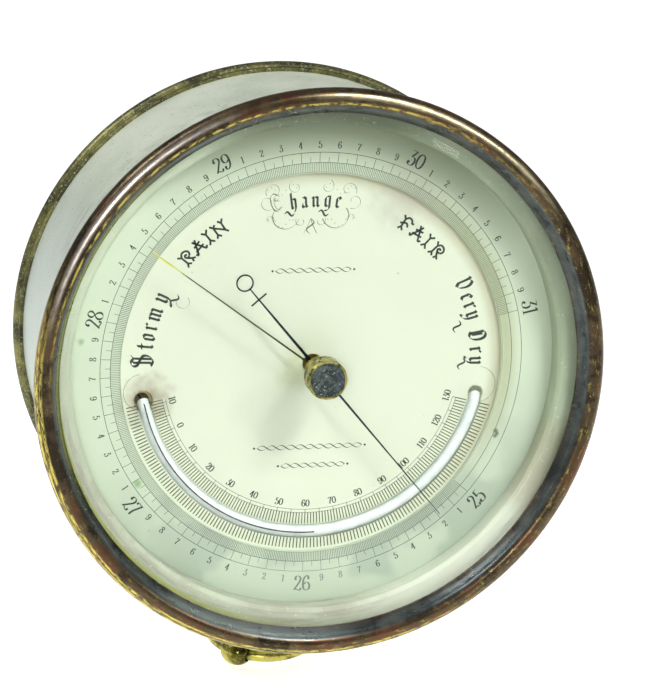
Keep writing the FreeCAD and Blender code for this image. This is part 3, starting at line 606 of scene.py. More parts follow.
FINISH = {
    "patinated_brass": patinated_brass(),
    "rear_brass": rear_brass(),
    "silvered_case": silvered_case(),
    "back_brass": back_brass(),
    "silvered_dial": silvered_dial(),
    "reflector": reflector_silver(),
    "crystal": clear_glass("crystal_glass", (0.965, 0.985, 0.955), 1.12),
    "tube_glass": clear_glass("tube_glass", (0.98, 0.995, 0.995), 1.33),
    "knob_face": knob_face(),
    "gilt": set_hand_gilt(),
    "washer_leather": leather(),
    "wax": engraving_wax("engraving_wax", (0.018, 0.028, 0.022), (0.055, 0.075, 0.055)),
    "faint_wax": engraving_wax("worn_engraving", (0.1, 0.13, 0.09), (0.2, 0.24, 0.17)),
    "olive_wax": engraving_wax("thermometer_engraving", (0.06, 0.075, 0.02), (0.15, 0.165, 0.055)),
}
METALS = {      # dark tone, light tone, metallic, range of roughness, scale of the clouds, depth of the pits
    "tube_enamel": ((0.74, 0.79, 0.8), (0.84, 0.88, 0.88), 0, (0.25, 0.4), 200, 0.01),
    "mercury": ((0.05, 0.055, 0.07), (0.1, 0.11, 0.13), 0.8, (0.15, 0.3), 500, 0.01),
    "brass": ((0.42, 0.3, 0.1), (0.62, 0.46, 0.18)),
    # The boss's brass is painted darker olive as painted shade under the knob.
    "shaded_boss_brass": ((0.2, 0.18, 0.035), (0.5, 0.42, 0.1), 0.8, (0.25, 0.4), 600),
    "knob_brass": ((0.13, 0.12, 0.035), (0.54, 0.49, 0.15), 0.85, (0.22, 0.38), 500),
    "ring_brass": ((0.085, 0.075, 0.011), (0.64, 0.57, 0.13), 0.85, (0.16, 0.32), 210, 0.03),
    "capsule_metal": ((0.45, 0.45, 0.42), (0.62, 0.62, 0.58), 0.9, (0.35, 0.5), 120),
    "steel": ((0.34, 0.35, 0.37), (0.52, 0.53, 0.55), 0.95, (0.25, 0.4), 260, 0.01),
    "spring_steel": ((0.09, 0.12, 0.22), (0.2, 0.25, 0.38), 0.95, (0.2, 0.35), 160, 0.01),
    "screw_steel": ((0.16, 0.16, 0.17), (0.34, 0.34, 0.36), 0.95, (0.3, 0.45), 400, 0.02),
    "blued_steel": ((0.01, 0.014, 0.022), (0.03, 0.038, 0.06), 0.6, (0.25, 0.4), 700, 0.01),
}
FINISH.update({name: metal(name, *row) for name, row in METALS.items()})


def dress_frame():
    """Give every CAD node the finish of its slot in the record."""
    slots = {row["node"]: row["material_slot"] for row in frame["record"]["subparts"]}
    for name, thing in frame["nodes"].items():
        thing.data.materials.clear()
        thing.data.materials.append(FINISH[slots[name]])


# ---- case
def make_bezel():
    """Half-round moulding, the cove inside it and the lip that holds the glass."""
    seat, flank, lip, glass_seat = 67.95, 70, 68.3, 69.5
    profile = outline([
        (seat, DRUM_FRONT), (seat, 3.2), (69.6, 3.2), (flank, 2.8), (flank, -7.6), (70.9, -8.1),
        (71.4, -8.759), ((75, -11.3), (72.3, -14)), ((70.1, -12.9), (69.75, -12.2)),
        ((69.1, -11.2), (lip, -10.3)), (lip, -9.55), (glass_seat, -9.05), (glass_seat, DRUM_FRONT)], 0.12)
    turned_piece("bezel_ring", profile, "case", "patinated_brass", worn=0.05, replaces=["front_bezel"])


def make_drum():
    inner = DRUM_RADIUS - DRUM_WALL
    parts = 24
    levels = [DRUM_FRONT + (DRUM_BACK - DRUM_FRONT) * k / parts for k in range(parts + 1)]
    profile = [Vector((DRUM_RADIUS, d)) for d in levels] + [Vector((inner, d)) for d in levels[::-1]]
    turned_piece("silvered_drum", profile, "case", "silvered_case", steps=ROUND, worn=0.04,
                 replaces=["case_drum"])


def make_rear_ring():
    inner, bead, front = 65.4, 68.9, 45.9
    profile = outline([
        (DRUM_RADIUS, front), (bead, front), (bead, 47.1), ((70.1, 48.9), (bead, 50.7)), (68.3, CASE_BACK),
        (inner, CASE_BACK), (inner, DRUM_BACK), (DRUM_RADIUS, DRUM_BACK)], 0.12)
    turned_piece("rear_bead_ring", profile, "case", "patinated_brass", finish="rear_brass", worn=0.04,
                 replaces=["rear_ring"])


def make_glass():
    hole, edge_front = 1.6, -8.95
    profile = outline([
        (hole, GLASS_FRONT), (BEVEL_INNER, GLASS_FRONT), (68.5, edge_front), (GLASS_RADIUS, edge_front),
        (GLASS_RADIUS, GLASS_BACK), (hole, GLASS_BACK)], 0.05)
    turned_piece("bevelled_crystal", profile, "case", "crystal", replaces=["crystal_glass"], sharp=12)


def make_reflector():
    outer, front = 66.3, GLASS_BACK + 0.02
    profile = outline([
        (DIAL_OPENING + 1, front), (GLASS_RADIUS, front), (GLASS_RADIUS, DRUM_FRONT), (outer, DRUM_FRONT),
        (outer, 0), (DIAL_OPENING, 0), (DIAL_OPENING, -5.4)], 0.15)
    turned_piece("reflector_wall", profile, "case", "reflector", replaces=["reflector_ring"])


# ---- dial
def groove_depth(radius, angle):
    """Depth of the dial plate's face: flat, with the tube's groove and the two end wells."""
    depth = PLATE_DEPTH
    off = abs(radius - THERMO_RADIUS)
    groove = TUBE_RADIUS + 0.15
    signed = angle - 360 if angle > 180 else angle
    if THERMO_START <= signed <= THERMO_END and off < groove:
        depth = max(depth, THERMO_DEPTH + math.sqrt(groove * groove - off * off))
    here = polar(radius, angle)
    well_floor, well_slope = 5, 6
    for end, well in ((THERMO_START, 2.5), (THERMO_END, 2)):
        gap = (here - polar(THERMO_RADIUS, end)).length
        if gap < well:
            depth = max(depth, min(well_floor, PLATE_DEPTH + (well - gap) * well_slope))
    return depth


def make_dial():
    """The sunk plate, with close rings where the groove is cut, and the scale ring round it."""
    bm = bmesh.new()
    plain, parts = 41.8, 14
    close, gap, count = 42.2, 0.15, 42
    radii = [PLATE_HOLE + k * (plain - PLATE_HOLE) / parts for k in range(parts + 1)]
    radii += [close + gap * k for k in range(count)]
    radii += [49, DIAL_STEP, SCALE_RADIUS, PLATE_RADIUS]
    steps = 720
    rings = []
    for radius in radii:
        angles = [360 * k / steps for k in range(steps)]
        rings.append([bm.verts.new(on_dial(polar(radius, a), groove_depth(radius, a))) for a in angles])
    for inner, outer in zip(rings, rings[1:]):
        for k in range(steps):
            j = (k + 1) % steps
            bm.faces.new((inner[k], inner[j], outer[j], outer[k]))
    bmesh.ops.recalc_face_normals(bm, faces=bm.faces)
    if sum(f.normal.y for f in bm.faces) > 0:
        bmesh.ops.reverse_faces(bm, faces=bm.faces)
    piece("sunk_dial", bm, "case", "silvered_dial", replaces=["dial_plate"], solid=False)
    outer = 66.2
    ring = outline([(DIAL_STEP, 0), (outer, 0), (outer, PLATE_DEPTH), (DIAL_STEP, PLATE_DEPTH)], 0.12)
    turned_piece("pressure_ring", ring, "case", "silvered_dial", replaces=["scale_ring"])


# ---- engraving
class Marks:
    """Waxed engraving that lies flat on the dial, drawn in dial millimetres at one depth."""

    def __init__(self, depth):
        self.bm = bmesh.new()
        self.depth = depth - MARK_LIFT

    def vert(self, flat):
        return self.bm.verts.new(on_dial(flat, self.depth))

    def strip(self, left, right, closed=False):
        lefts, rights = [self.vert(p) for p in left], [self.vert(p) for p in right]
        count = len(left)
        for k in range(count if closed else count - 1):
            j = (k + 1) % count
            self.bm.faces.new((lefts[k], lefts[j], rights[j], rights[k]))

    def tick(self, angle, inner, outer, width):
        side = polar(width / 2, angle + 90)
        self.strip([polar(inner, angle) + side, polar(outer, angle) + side],
                   [polar(inner, angle) - side, polar(outer, angle) - side])

    def arc(self, radius, first, last, width):
        count = max(4, int(abs(last - first)))
        angles = [first + (last - first) * k / count for k in range(count + 1)]
        self.strip([polar(radius + width / 2, a) for a in angles],
                   [polar(radius - width / 2, a) for a in angles])

    def pen(self, points, nib, slant, hair):
        """Sweep a broad pen held at a slant along the points."""
        flat_nib = polar(nib / 2, slant)
        left, right = [], []
        for k, here in enumerate(points):
            along = points[min(k + 1, len(points) - 1)] - points[max(k - 1, 0)]
            if not along.length:
                continue
            normal = Vector((-along.y, along.x)).normalized()
            across = flat_nib.dot(normal)
            offset = flat_nib if abs(across) > hair / 2 else normal * math.copysign(hair / 2, across)
            left.append(here + offset)
            right.append(here - offset)
        self.strip(left, right)

    def dot(self, centre, radius):
        self.bm.faces.new([self.vert(centre + polar(radius, 30 * k)) for k in range(12)])

    def finish(self, name, finish):
        """Turn every face to the front and hand the engraving over as a piece."""
        for face in self.bm.faces:
            face.normal_update()
            if face.normal.y > 0:
                face.normal_flip()
        piece(name, self.bm, "case", "silvered_dial", finish, solid=False)


# Skeletons in hundredths of the letter's height: advance width, then strokes. A ~ marks a curved one.
DIGITS = {
    "0": (58, ["~29,98 12,82 7,50 12,18 29,2 46,18 51,50 46,82 29,98"]),
    "1": (42, ["22,98 22,2", "8,84 22,97", "8,2 36,2"]),
    "2": (56, ["~10,74 16,93 30,98 45,86 44,68 30,42 8,6", "~8,6 20,13 34,4 45,3 50,20"]),
    "3": (54, ["12,97 44,97", "~44,97 32,76 20,56", "~20,56 40,54 48,32 40,8 24,2 8,10 8,24"]),
    "4": (58, ["38,98 38,2", "38,98 6,30", "6,30 54,30", "26,2 50,2"]),
    "5": (54, ["16,97 42,97", "16,97 13,56", "~13,56 28,63 44,52 48,30 38,7 22,2 8,10 8,24"]),
    "6": (56, ["~44,82 38,96 28,98 12,80 7,45 12,14 28,2 44,12 48,32 40,52 26,56 10,40"]),
    "7": (52, ["8,80 9,96", "~9,93 22,97 34,92 47,98", "~47,98 34,64 24,34 22,2"]),
    "8": (56, ["~28,54 12,66 11,82 22,97 33,97 44,84 42,68 28,54 12,40 7,22 16,5 28,2 44,8 49,26 42,42 "
               "28,54"]),
    "9": (56, ["~12,18 18,4 28,2 44,20 49,55 44,86 28,98 12,88 8,68 16,48 30,44 46,60"]),
}
BALLS = {"2": [(14, 76)], "3": [(12, 22)], "5": [(12, 22)], "6": [(41, 80)], "9": [(15, 20)]}
RUSTIC = {
    "R": (96, ["28,24 28,76", "28,76 10,98", "~28,76 46,95 70,92 84,74 76,54 58,48 46,60 54,72 66,66",
               "28,24 10,2", "28,24 46,4", "52,48 72,26", "72,26 64,2", "72,26 92,12"]),
    "A": (92, ["10,4 56,98", "80,4 34,98", "12,30 82,40", "20,60 74,70", "10,4 0,22", "80,4 94,20"]),
    "I": (64, ["30,26 30,74", "30,74 10,98", "30,74 52,98", "30,26 10,2", "30,26 52,2"]),
    "N": (104, ["20,24 20,76", "20,76 4,98", "20,24 4,4", "20,24 38,2", "20,76 38,90", "20,76 78,24",
                "78,24 78,76", "78,76 62,98", "78,76 96,98", "78,24 94,4"]),
    "F": (92, ["28,24 28,76", "28,76 10,98", "~28,76 46,95 68,90 80,70", "28,24 10,2", "28,24 46,2",
               "28,50 8,40", "~28,50 46,56 58,50 66,36", "80,70 92,78"]),
}
BLACK = {
    "S": (98, ["~88,176 62,154 30,172 2,152 10,116 48,98 86,72 84,26 50,-10 2,6", "30,156 30,4",
               "62,150 62,2"]),
    "t": (54, ["26,134 26,18 40,4", "6,96 46,96"]),
    "o": (66, ["16,88 16,18 32,2", "32,100 50,84 50,16 32,2", "16,88 32,100"]),
    "r": (58, ["8,92 18,84 18,16 28,4", "18,82 38,98 50,88"]),
    "m": (118, ["8,92 18,84 18,16 28,4", "18,82 36,98", "38,94 54,84 54,16 64,4", "54,82 72,98",
                "74,94 90,84 90,16 104,4"]),
    "n": (82, ["8,92 18,84 18,16 28,4", "18,82 36,98", "38,94 54,84 54,16 68,4"]),
    "y": (76, ["8,98 18,86 18,16 34,2 52,16", "46,98 56,86 56,6 44,-26 18,-44", "~18,-44 2,-40 8,-26"]),
    "e": (62, ["16,88 16,18 32,2 48,12", "16,88 34,100 48,80 16,52"]),
    "h": (74, ["20,150 20,16 30,4", "20,82 38,98", "38,96 54,84 54,8 42,-24"]),
    "a": (72, ["12,88 30,98 48,84 48,16 60,4", "48,54 16,40 16,16 30,2 48,16"]),
    "g": (76, ["52,98 28,98 16,82 16,20 32,4 52,18", "54,98 54,-8 38,-30 10,-30"]),
    "V": (96, ["~6,140 22,150 26,120 22,60 18,30", "18,34 40,4 66,28", "~66,28 80,80 76,120 56,148 36,132"]),
    "D": (96, ["18,132 18,22", "~4,120 30,150 64,138 80,96 76,40 46,4 6,22", "34,120 34,26"]),
    "C": (92, ["~70,128 44,150 14,124 8,70 20,20 48,4 76,30", "~58,110 42,104 46,88 62,90"]),
    " ": (52, []),
}


def skeleton(text):
    points = [Vector([float(v) / 100 for v in pair.split(",")]) for pair in text.lstrip("~").split()]
    return smooth(points) if text.startswith("~") else points


def write(marks, text, font, radius, angle, height, nib, slant, hair, spread=1, outward=True):
    """Letter a word round the dial, centred on an angle; radius is that of the middle of the letters."""
    advances = [font[c][0] / 100 * spread for c in text]
    pen_x = -sum(advances) / 2
    sign = 1 if outward else -1
    base = radius - sign * height / 2

    def bent(point):
        turn = angle - sign * math.degrees((pen_x + point.x) * height / radius)
        return polar(base + sign * point.y * height, turn)

    for letter, advance in zip(text, advances):
        local = angle - sign * math.degrees((pen_x + advance / 2) * height / radius)
        tilt = local - 90 if outward else local + 90
        for stroke in font[letter][1]:
            marks.pen([bent(p) for p in skeleton(stroke)], nib * height, slant + tilt, hair * height)
        for x, y in BALLS.get(letter, []) if font is DIGITS else []:
            marks.dot(bent(Vector((x / 100, y / 100))), 0.075 * height)
        pen_x += advance


def pressure_angle(pressure):
    return 90 - (pressure - PRESSURE_AT_TOP) * DEGREES_PER_INCH


def engrave_pressure_scale():
    """Inches, tenths, half tenths and, between them, hundredths as a fine hatching."""
    lines, hatch = Marks(0), Marks(0)
    inches = LAST_INCH - FIRST_INCH
    for step in range(inches * 100 + 1):
        angle = pressure_angle(FIRST_INCH + step / 100)
        if step % 10 == 0:
            lines.tick(angle, TICK_FOOT, SCALE_RADIUS, 0.12)
        elif step % 5 == 0:
            lines.tick(angle, TICK_FOOT, 54.7, 0.11)
        else:
            hatch.tick(angle, TICK_FOOT, HATCH_RADIUS, 0.14)
    for radius, width in ((SCALE_RADIUS, 0.14), (HATCH_RADIUS, 0.13)):
        lines.arc(radius, 0, 360, width)
    for step in range(inches * 10 + 1):
        angle = pressure_angle(FIRST_INCH + step / 10)
        outward = -5 < angle < 190
        if step % 10 == 0:
            figure = "%d" % (FIRST_INCH + step // 10)
            write(lines, figure, DIGITS, 59.3, angle, 4.2, 0.125, 0, 0.035, outward=outward)
        else:
            write(lines, "%d" % (step % 10), DIGITS, 58, angle, 1.85, 0.15, 0, 0.06, outward=outward)
    lines.finish("pressure_figures", "wax")
    hatch.arc(50.85, pressure_angle(LAST_INCH), pressure_angle(FIRST_INCH) + 360, 0.08)
    hatch.finish("fine_hatching", "faint_wax")


def thermometer_angle(degrees):
    at_zero, per_degree = -156, 1.0846
    return at_zero + degrees * per_degree


def engrave_thermometer():
    """A line for each degree on both sides of the tube, with figures below every tenth."""
    inner, outer = THERMO_LINES
    fine, lines = Marks(PLATE_DEPTH), Marks(PLATE_DEPTH)
    for degree in range(COLDEST - 1, WARMEST + 1):
        angle = thermometer_angle(degree)
        fine.tick(angle, outer, 43.3, 0.26)
        fine.tick(angle, 47.1, 49.9, 0.3)
    fine.finish("thermometer_degrees", "olive_wax")
    for radius in THERMO_LINES:
        lines.arc(radius, thermometer_angle(COLDEST - 1), thermometer_angle(WARMEST), 0.11)
    for degree in range(COLDEST, WARMEST + 1, 5):
        lines.tick(thermometer_angle(degree), inner, outer, 0.13)
    for degree in range(COLDEST, WARMEST + 1, 10):
        angle = thermometer_angle(degree)
        write(lines, str(abs(degree)), DIGITS, 37.7, angle, 1.9, 0.17, 0, 0.06, outward=False)
    lines.finish("thermometer_figures", "wax")


def curl(marks, centre, radius, start, sweep, shrink, nib, slant=35):
    """Scroll flourish: a spiral stroke that tightens from its start."""
    count = 26
    points = []
    for k in range(count + 1):
        t = k / count
        points.append(Vector(centre) + polar(radius * (1 - shrink * t), start + sweep * t))
    marks.pen(points, nib, slant, nib * 0.35)


def comma(marks, start, end, width):
    """Short swelling stroke with a bend to each side, as at the tail of a y."""
    begin, finish = Vector(start), Vector(end)
    side = Vector((begin.y - finish.y, finish.x - begin.x)) * 0.22
    path = smooth([begin, begin.lerp(finish, 0.3) + side, begin.lerp(finish, 0.7) - side, finish], 5)
    last = len(path) - 1
    left, right = [], []
    for k, here in enumerate(path):
        along = (path[min(k + 1, last)] - path[max(k - 1, 0)]).normalized()
        half = Vector((-along.y, along.x)) * width / 2 * math.sin(math.pi * (0.06 + 0.88 * k / last))
        left.append(here + half)
        right.append(here - half)
    marks.strip(left, right)


WORDS = (       # text, font, radius, angle and height, then nib, slant and hairline of the pen, then spread
    ("Stormy", BLACK, 44, 165.8, 3.2, 0.25, 40, 0.06, 1.37),
    ("RAIN", RUSTIC, 44.4, 132, 4.1, 0.13, 30, 0.13, 1.08),
    ("hange", BLACK, 42.9, 90.2, 2.9, 0.25, 40, 0.05, 1.36),
    ("FAIR", RUSTIC, 43.4, 49.3, 4.1, 0.13, 30, 0.13, 1.1),
    ("Very", BLACK, 43.9, 20.6, 3.1, 0.27, 40, 0.06, 1.36),
    ("Dry", BLACK, 43.7, 3, 3.1, 0.27, 40, 0.06, 1.45))
COMMAS = (      # both ends of each small stroke beside the words
    ((-36, 19.4), (-37.6, 16.4)), ((38.9, 10.4), (38, 7)), ((40.4, 0.2), (39.6, -3)),
    ((-8.6, 39.7), (-6, 39.9)), ((0.2, 40.1), (3, 39.6)))
SCROLLS = (     # centre, radius, start, sweep, shrink and nib of the right half of the cartouche
    (7, 39.4, 4, -165, 200, 0.3, 0.26), (11.4, 42.8, 2.1, -120, 310, 0.6, 0.15),
    (9.8, 45.8, 2.3, -30, 330, 0.7, 0.15), (4.2, 46.8, 1.9, 60, -300, 0.6, 0.15),
    (2.6, 37.8, 1.4, 30, -240, 0.5, 0.15), (10.8, 38.4, 1.2, 200, -280, 0.6, 0.13))


def engrave_words():
    words = Marks(PLATE_DEPTH)
    for row in WORDS:
        write(words, *row)
    for start, end in COMMAS:
        comma(words, start, end, 0.55)
    words.finish("weather_words", "wax")


def engrave_flourishes():
    """Cartouche round the top word, a curl by the left word and an arch at each end of the tube."""
    scrolls = Marks(PLATE_DEPTH)
    middle = -1.7
    for angle, height, nib, hair in ((104.4, 3.2, 0.1, 0.05), (103.6, 2.7, 0.06, 0.04)):
        write(scrolls, "C", BLACK, 43.4, angle, height, nib, 40, hair)
    for side in (-1, 1):
        for x, z, radius, start, sweep, shrink, nib in SCROLLS:
            begin = start if side > 0 else 180 - start
            curl(scrolls, (middle + side * x, z), radius, begin, side * sweep, shrink, nib)
        for k in range(9):
            spot = Vector((middle + side * (3.6 + 0.95 * k), 37 + 1.2 * math.sin(k * 1.1) + 0.1 * k))
            scrolls.dot(spot, 0.13)
            scrolls.dot(spot + Vector((0.3 * side, 9.6 - 0.25 * k)), 0.12)
        tail = [Vector((middle + side * x, z)) for x, z in ((0, 38.4), (0.8, 36.4), (1.7, 34.6))]
        scrolls.pen(smooth(tail), 0.2, 35, 0.07)
    comma(scrolls, (middle, 38.6), (middle - 0.1, 34.4), 0.4)
    curl(scrolls, (-34.4, 17.4), 2, 160, 250, 0.3, 0.12)
    arch_radius = 4.85
    for end, turn in ((THERMO_START, -1), (THERMO_END, 1)):
        stop = end + turn * 3
        centre = polar(THERMO_RADIUS, stop)
        first = stop - turn * 90
        arch = [centre + polar(arch_radius, first + turn * 12 * k) for k in range(16)]
        scrolls.pen(arch, 0.13, 35, 0.1)
    scrolls.finish("scroll_flourishes", "faint_wax")


def engrave_ribbons():
    """Plain twisted ribbons where a maker's lines would stand."""
    ribbon = Marks(PLATE_DEPTH)
    link, swell, per_link = 2.4, 0.6, 4
    for start_x, z, spread in ((-10.5, 24.8, 20), (-14, -22.4, 28), (-7.5, -27.4, 17)):
        count = per_link * int(spread / link)
        for phase in (0, math.pi):
            rise = [swell * math.sin(k * math.pi / per_link + phase) for k in range(count + 1)]
            path = [Vector((start_x + spread * k / count, z + up)) for k, up in enumerate(rise)]
            ribbon.pen(smooth(path, 4), 0.26, 35, 0.07)
        for side in (0, 1):
            ribbon.dot(Vector((start_x + side * spread + (side - 0.5) * 1.6, z)), 0.3)
    ribbon.finish("plain_ribbons", "wax")


# ---- thermometer
def tube_centreline():
    """Path of the thermometer tube in metres, from the bulb behind the dial to the far end."""
    elbow, drop = 2.6, 4.2
    shift = math.degrees(elbow / THERMO_RADIUS)
    first, last = THERMO_START + shift, THERMO_END - shift
    points = []

    def turn_back(corner, way, shares):
        """Quarter circle from the dial's face to the depth behind it, at these shares of its sweep."""
        for share in shares:
            turn = math.pi / 2 * share
            flat = corner + way * elbow * math.sin(turn)
            points.append(on_dial(flat, THERMO_DEPTH + elbow * (1 - math.cos(turn))))

    start, end = polar(THERMO_RADIUS, first), polar(THERMO_RADIUS, last)
    start_way, end_way = -polar(1, first + 90), polar(1, last + 90)
    for k in range(9):
        points.append(on_dial(start + start_way * elbow, THERMO_DEPTH + elbow + drop * (1 - k / 9)))
    turn_back(start, start_way, [1 - k / 9 for k in range(9)])
    for k in range(181):
        points.append(on_dial(polar(THERMO_RADIUS, first + (last - first) * k / 180), THERMO_DEPTH))
    turn_back(end, end_way, [k / 8 for k in range(1, 9)])
    points.append(on_dial(end + end_way * elbow, THERMO_DEPTH + elbow + drop - 2))
    return points


def swept_piece(name, path, radii, sides, slot, forward=0, **more):
    """Tube along a path that is moved toward the front; radii are in millimetres."""
    bm = bmesh.new()
    ahead = Vector((0, -forward * MM, 0))
    add_sweep(bm, [point + ahead for point in path], [radius * MM for radius in radii], sides)
    piece(name, bm, "case", slot, **more)


def make_thermometer():
    """Glass tube with a bulb, an enamel strip behind its bore and mercury up to about 63 degrees."""
    path = tube_centreline()
    bulb_radius = 3.4
    neck = path[0] + Vector((0, (bulb_radius - 0.9) * MM, 0))
    turns = [math.pi * k / 12 for k in range(11)]
    bulb = [neck + Vector((0, bulb_radius * math.cos(turn) * MM, 0)) for turn in turns]
    bulb_radii = [max(0.05, bulb_radius * math.sin(turn)) for turn in turns]
    swept_piece("glass_tube", bulb + path, bulb_radii + [TUBE_RADIUS] * len(path), 28, "tube_glass",
                replaces=["thermometer_tube"])
    seen, thread = path[12:-4], path[:112]
    swept_piece("tube_enamel_strip", seen, [1] * len(seen), 16, "tube_glass", -0.45, finish="tube_enamel")
    swept_piece("mercury_column", thread, [0.13] * len(thread), 10, "mercury", 0.7,
                replaces=["mercury_thread"])


# ---- movement parts that bend
def make_leaf_spring():
    """The main spring, which bends with the lever at the clamp's edge; its mesh is cut across there."""
    bm = bmesh.new()
    bm.from_mesh(frame["nodes"]["main_spring"].data)
    for step in range(-LEAF_CUTS, LEAF_CUTS + 1):
        place = LEAF_HINGE + Vector((0, 0, LEAF_BEND * step / LEAF_CUTS))
        bmesh.ops.bisect_plane(bm, geom=bm.verts[:] + bm.edges[:] + bm.faces[:],
                               plane_co=place * MM, plane_no=(0, 0, 1))
    reach = Vector((0, 0, LEAF_BEND))
    bend = ("lever", (LEAF_HINGE + reach) * MM, (LEAF_HINGE - reach) * MM)
    piece("leaf_spring", bm, "case", "spring_steel", replaces=["main_spring"], bend=bend)


def make_capsule():
    """The vacuum capsule, which flattens toward its back as the pressure rises and its post sinks, as a
    piece with a mesh of its own.
    """
    bm = bmesh.new()
    bm.from_mesh(frame["nodes"]["vacuum_capsule"].data)
    capsule = piece("vacuum_chamber", bm, "case", "capsule_metal", replaces=["vacuum_capsule"])
    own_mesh(capsule)


# ---- hands and knob
def turned_corners(corners, angle):
    turn = Matrix.Rotation(math.radians(angle), 2)
    return [turn @ Vector(c) for c in corners]


def washer(inner, outer, front, back, corner):
    return outline([(inner, front), (outer, front), (outer, back), (inner, back)], corner)


def tapered(stations):
    """Corners of a blade along X from (distance, half width) stations, right side then left."""
    return [(x, -half) for x, half in stations] + [(x, half) for x, half in stations[::-1]]


def make_indicator():
    """Blued pointer; its tail carries a cross bar and an open eye."""
    front, back = -4.1, -3.7
    rest = pressure_angle(REST_PRESSURE)
    bm = bmesh.new()
    cross = [(24.25, -2.5), (24.6, -2.5), (24.6, 2.5), (24.25, 2.5)]
    for corners, angle in ((tapered([(2.2, 0.34), (30, 0.19), (53.2, 0.1)]), rest),
                           (tapered([(2.2, 0.42), (28.3, 0.17)]), rest + 180), (cross, rest + 180)):
        add_blade(bm, turned_corners(corners, angle), front, back)
    eye = polar(30.3, rest + 180)
    add_turned(bm, washer(1.92, 2.3, front, back, 0.08), Matrix.Translation(on_dial(eye, 0)), 48)
    add_turned(bm, washer(1.6, 2.6, front, back, 0.1), ON_AXIS, 48)
    piece("blued_indicator", bm, "hand", "blued_steel", replaces=["indicator_hand"])


def make_set_hand():
    """Thin blade with a spear tip, and the boss that carries it."""
    front, back = -5.35, -5
    bm = bmesh.new()
    blade = tapered([(2.2, 0.26), (47, 0.13), (48.6, 0.24), (54.6, 0.12)])
    add_blade(bm, turned_corners(blade, SET_HAND_ANGLE), front, back)
    add_turned(bm, washer(ARBOR_RADIUS, 3, front, back, 0.08), ON_AXIS, 48)
    piece("gilt_set_hand", bm, "set_pointer", "gilt", replaces=["set_hand"])
    boss = outline([(ARBOR_RADIUS, -6.1), (3.2, -6.1), (BOSS_RADIUS, -5.8), (BOSS_RADIUS, front),
                    (ARBOR_RADIUS, front)], 0.12)
    turned_piece("hand_boss", boss, "set_pointer", "gilt", steps=96, finish="shaded_boss_brass",
                 replaces=["set_hand_boss"])


def make_knob():
    """Turned brass body with a groove round it and a dusty, slightly uneven inlay in its face."""
    body, groove, inlay, inlay_back, face = 5.2, 5.08, 4.42, -16.05, -16.32
    profile = outline([
        (ARBOR_RADIUS, -10.85), (BOSS_RADIUS, -10.85), (BOSS_RADIUS, -11.5), (5, -11.5), (body, -11.7),
        (body, -12.4), (groove, -12.5), (groove, -12.7), (body, -12.8), (body, -16.2), (4.9, -16.6),
        (4.55, -16.6), (4.35, -16.1), (ARBOR_RADIUS, inlay_back)], 0.1)
    turned_piece("knob_body", profile, "set_pointer", "patinated_brass", steps=120, finish="knob_brass",
                 replaces=["set_knob"])
    bm = bmesh.new()
    rings, swell, ripple, ripples_per_metre = 14, 0.1, 0.07, 900
    radii = [inlay * k / rings for k in range(rings + 1)]
    top = [Vector((r, face - swell * noise.noise(Vector((r, 1.7, 0.3))))) for r in radii]
    add_turned(bm, top + [Vector((inlay, inlay_back)), Vector((0, inlay_back))], ON_AXIS, 72)
    behind_face = (inlay_back - 0.15 - CASE_BACK) * MM
    for vert in bm.verts:
        if vert.co.y < behind_face:
            vert.co.y += ripple * MM * noise.noise(vert.co * ripples_per_metre)
    piece("knob_inlay", bm, "set_pointer", "patinated_brass", "knob_face")


# ---- pendant
def rotated(angle, axis):
    return Matrix.Rotation(math.radians(angle), 4, axis)


def make_pendant():
    """Bush in the case, ball on its stem and the ring through the ball; pendant space has its Z outward."""
    pendant = (Matrix.Translation((0, (PENDANT_DEPTH - CASE_BACK) * MM, 0))
               @ rotated(90 - PENDANT_ANGLE, "Y") @ rotated(90 - RING_TURN, "Z"))
    outward = pendant @ rotated(90, "X")
    hole, flange, steps = 2.05, 5.4, 64
    bush = outline([(hole, 65.6), (3, 65.6), (3, 67.4), (flange, 67.4), (flange, 69), (5, 69.4),
                    (hole, 69.4)], 0.2)
    turned_piece("swivel_bush", bush, "case", "patinated_brass", outward, steps, finish="ring_brass",
                 replaces=["pendant_bush"])
    bm = bmesh.new()
    stem, collar = 2, 4.4
    neck = outline([
        (0, 63), (stem, 63), (stem, 69.7), (collar, 69.7), (collar, 70.9), (3.2, 71.4),
        ((2.3, 72.6), (2, 74)), (1.9, 77.5), (2.6, 79.3), (2.6, 80.3), (2.9, 81.6), (0, 81.6)], 0.15)
    add_turned(bm, neck, outward, steps)
    centre = pendant @ Matrix.Translation((0, 0, BALL_REACH * MM))
    reach = BALL_RADIUS + 0.7
    turns = [math.radians(degrees) for degrees in range(-56, 57, 7)]
    ball = [(BALL_RADIUS * math.cos(turn), reach * math.sin(turn)) for turn in turns]
    ball += [(1.72, reach * 0.86), (1.65, 0), (1.72, -reach * 0.86)]
    add_turned(bm, [Vector(p) for p in ball], centre @ rotated(90, "Z"), steps)
    piece("swivel_ball", bm, "pendant", "patinated_brass", "ring_brass", ["pendant_ball"])
    bm = bmesh.new()
    place = centre @ rotated(-RING_LIFT, "X") @ Matrix.Translation((0, SUSPENSION_RADIUS * MM, 0))
    loop, radii = [], []
    count, worn = 160, 0.04
    for k in range(count):
        turn = math.tau * k / count
        x, y = math.cos(turn), math.sin(turn)
        loop.append(place @ Vector((SUSPENSION_RADIUS * x * MM, SUSPENSION_RADIUS * y * MM, 0)))
        radii.append((WIRE_RADIUS - worn * wear(Vector((x, y, 0.4)) * 4)) * MM)
    add_sweep(bm, loop, radii, 24, closed=True)
    piece("hanging_loop", bm, "ring", "patinated_brass", "ring_brass", ["suspension_ring"])


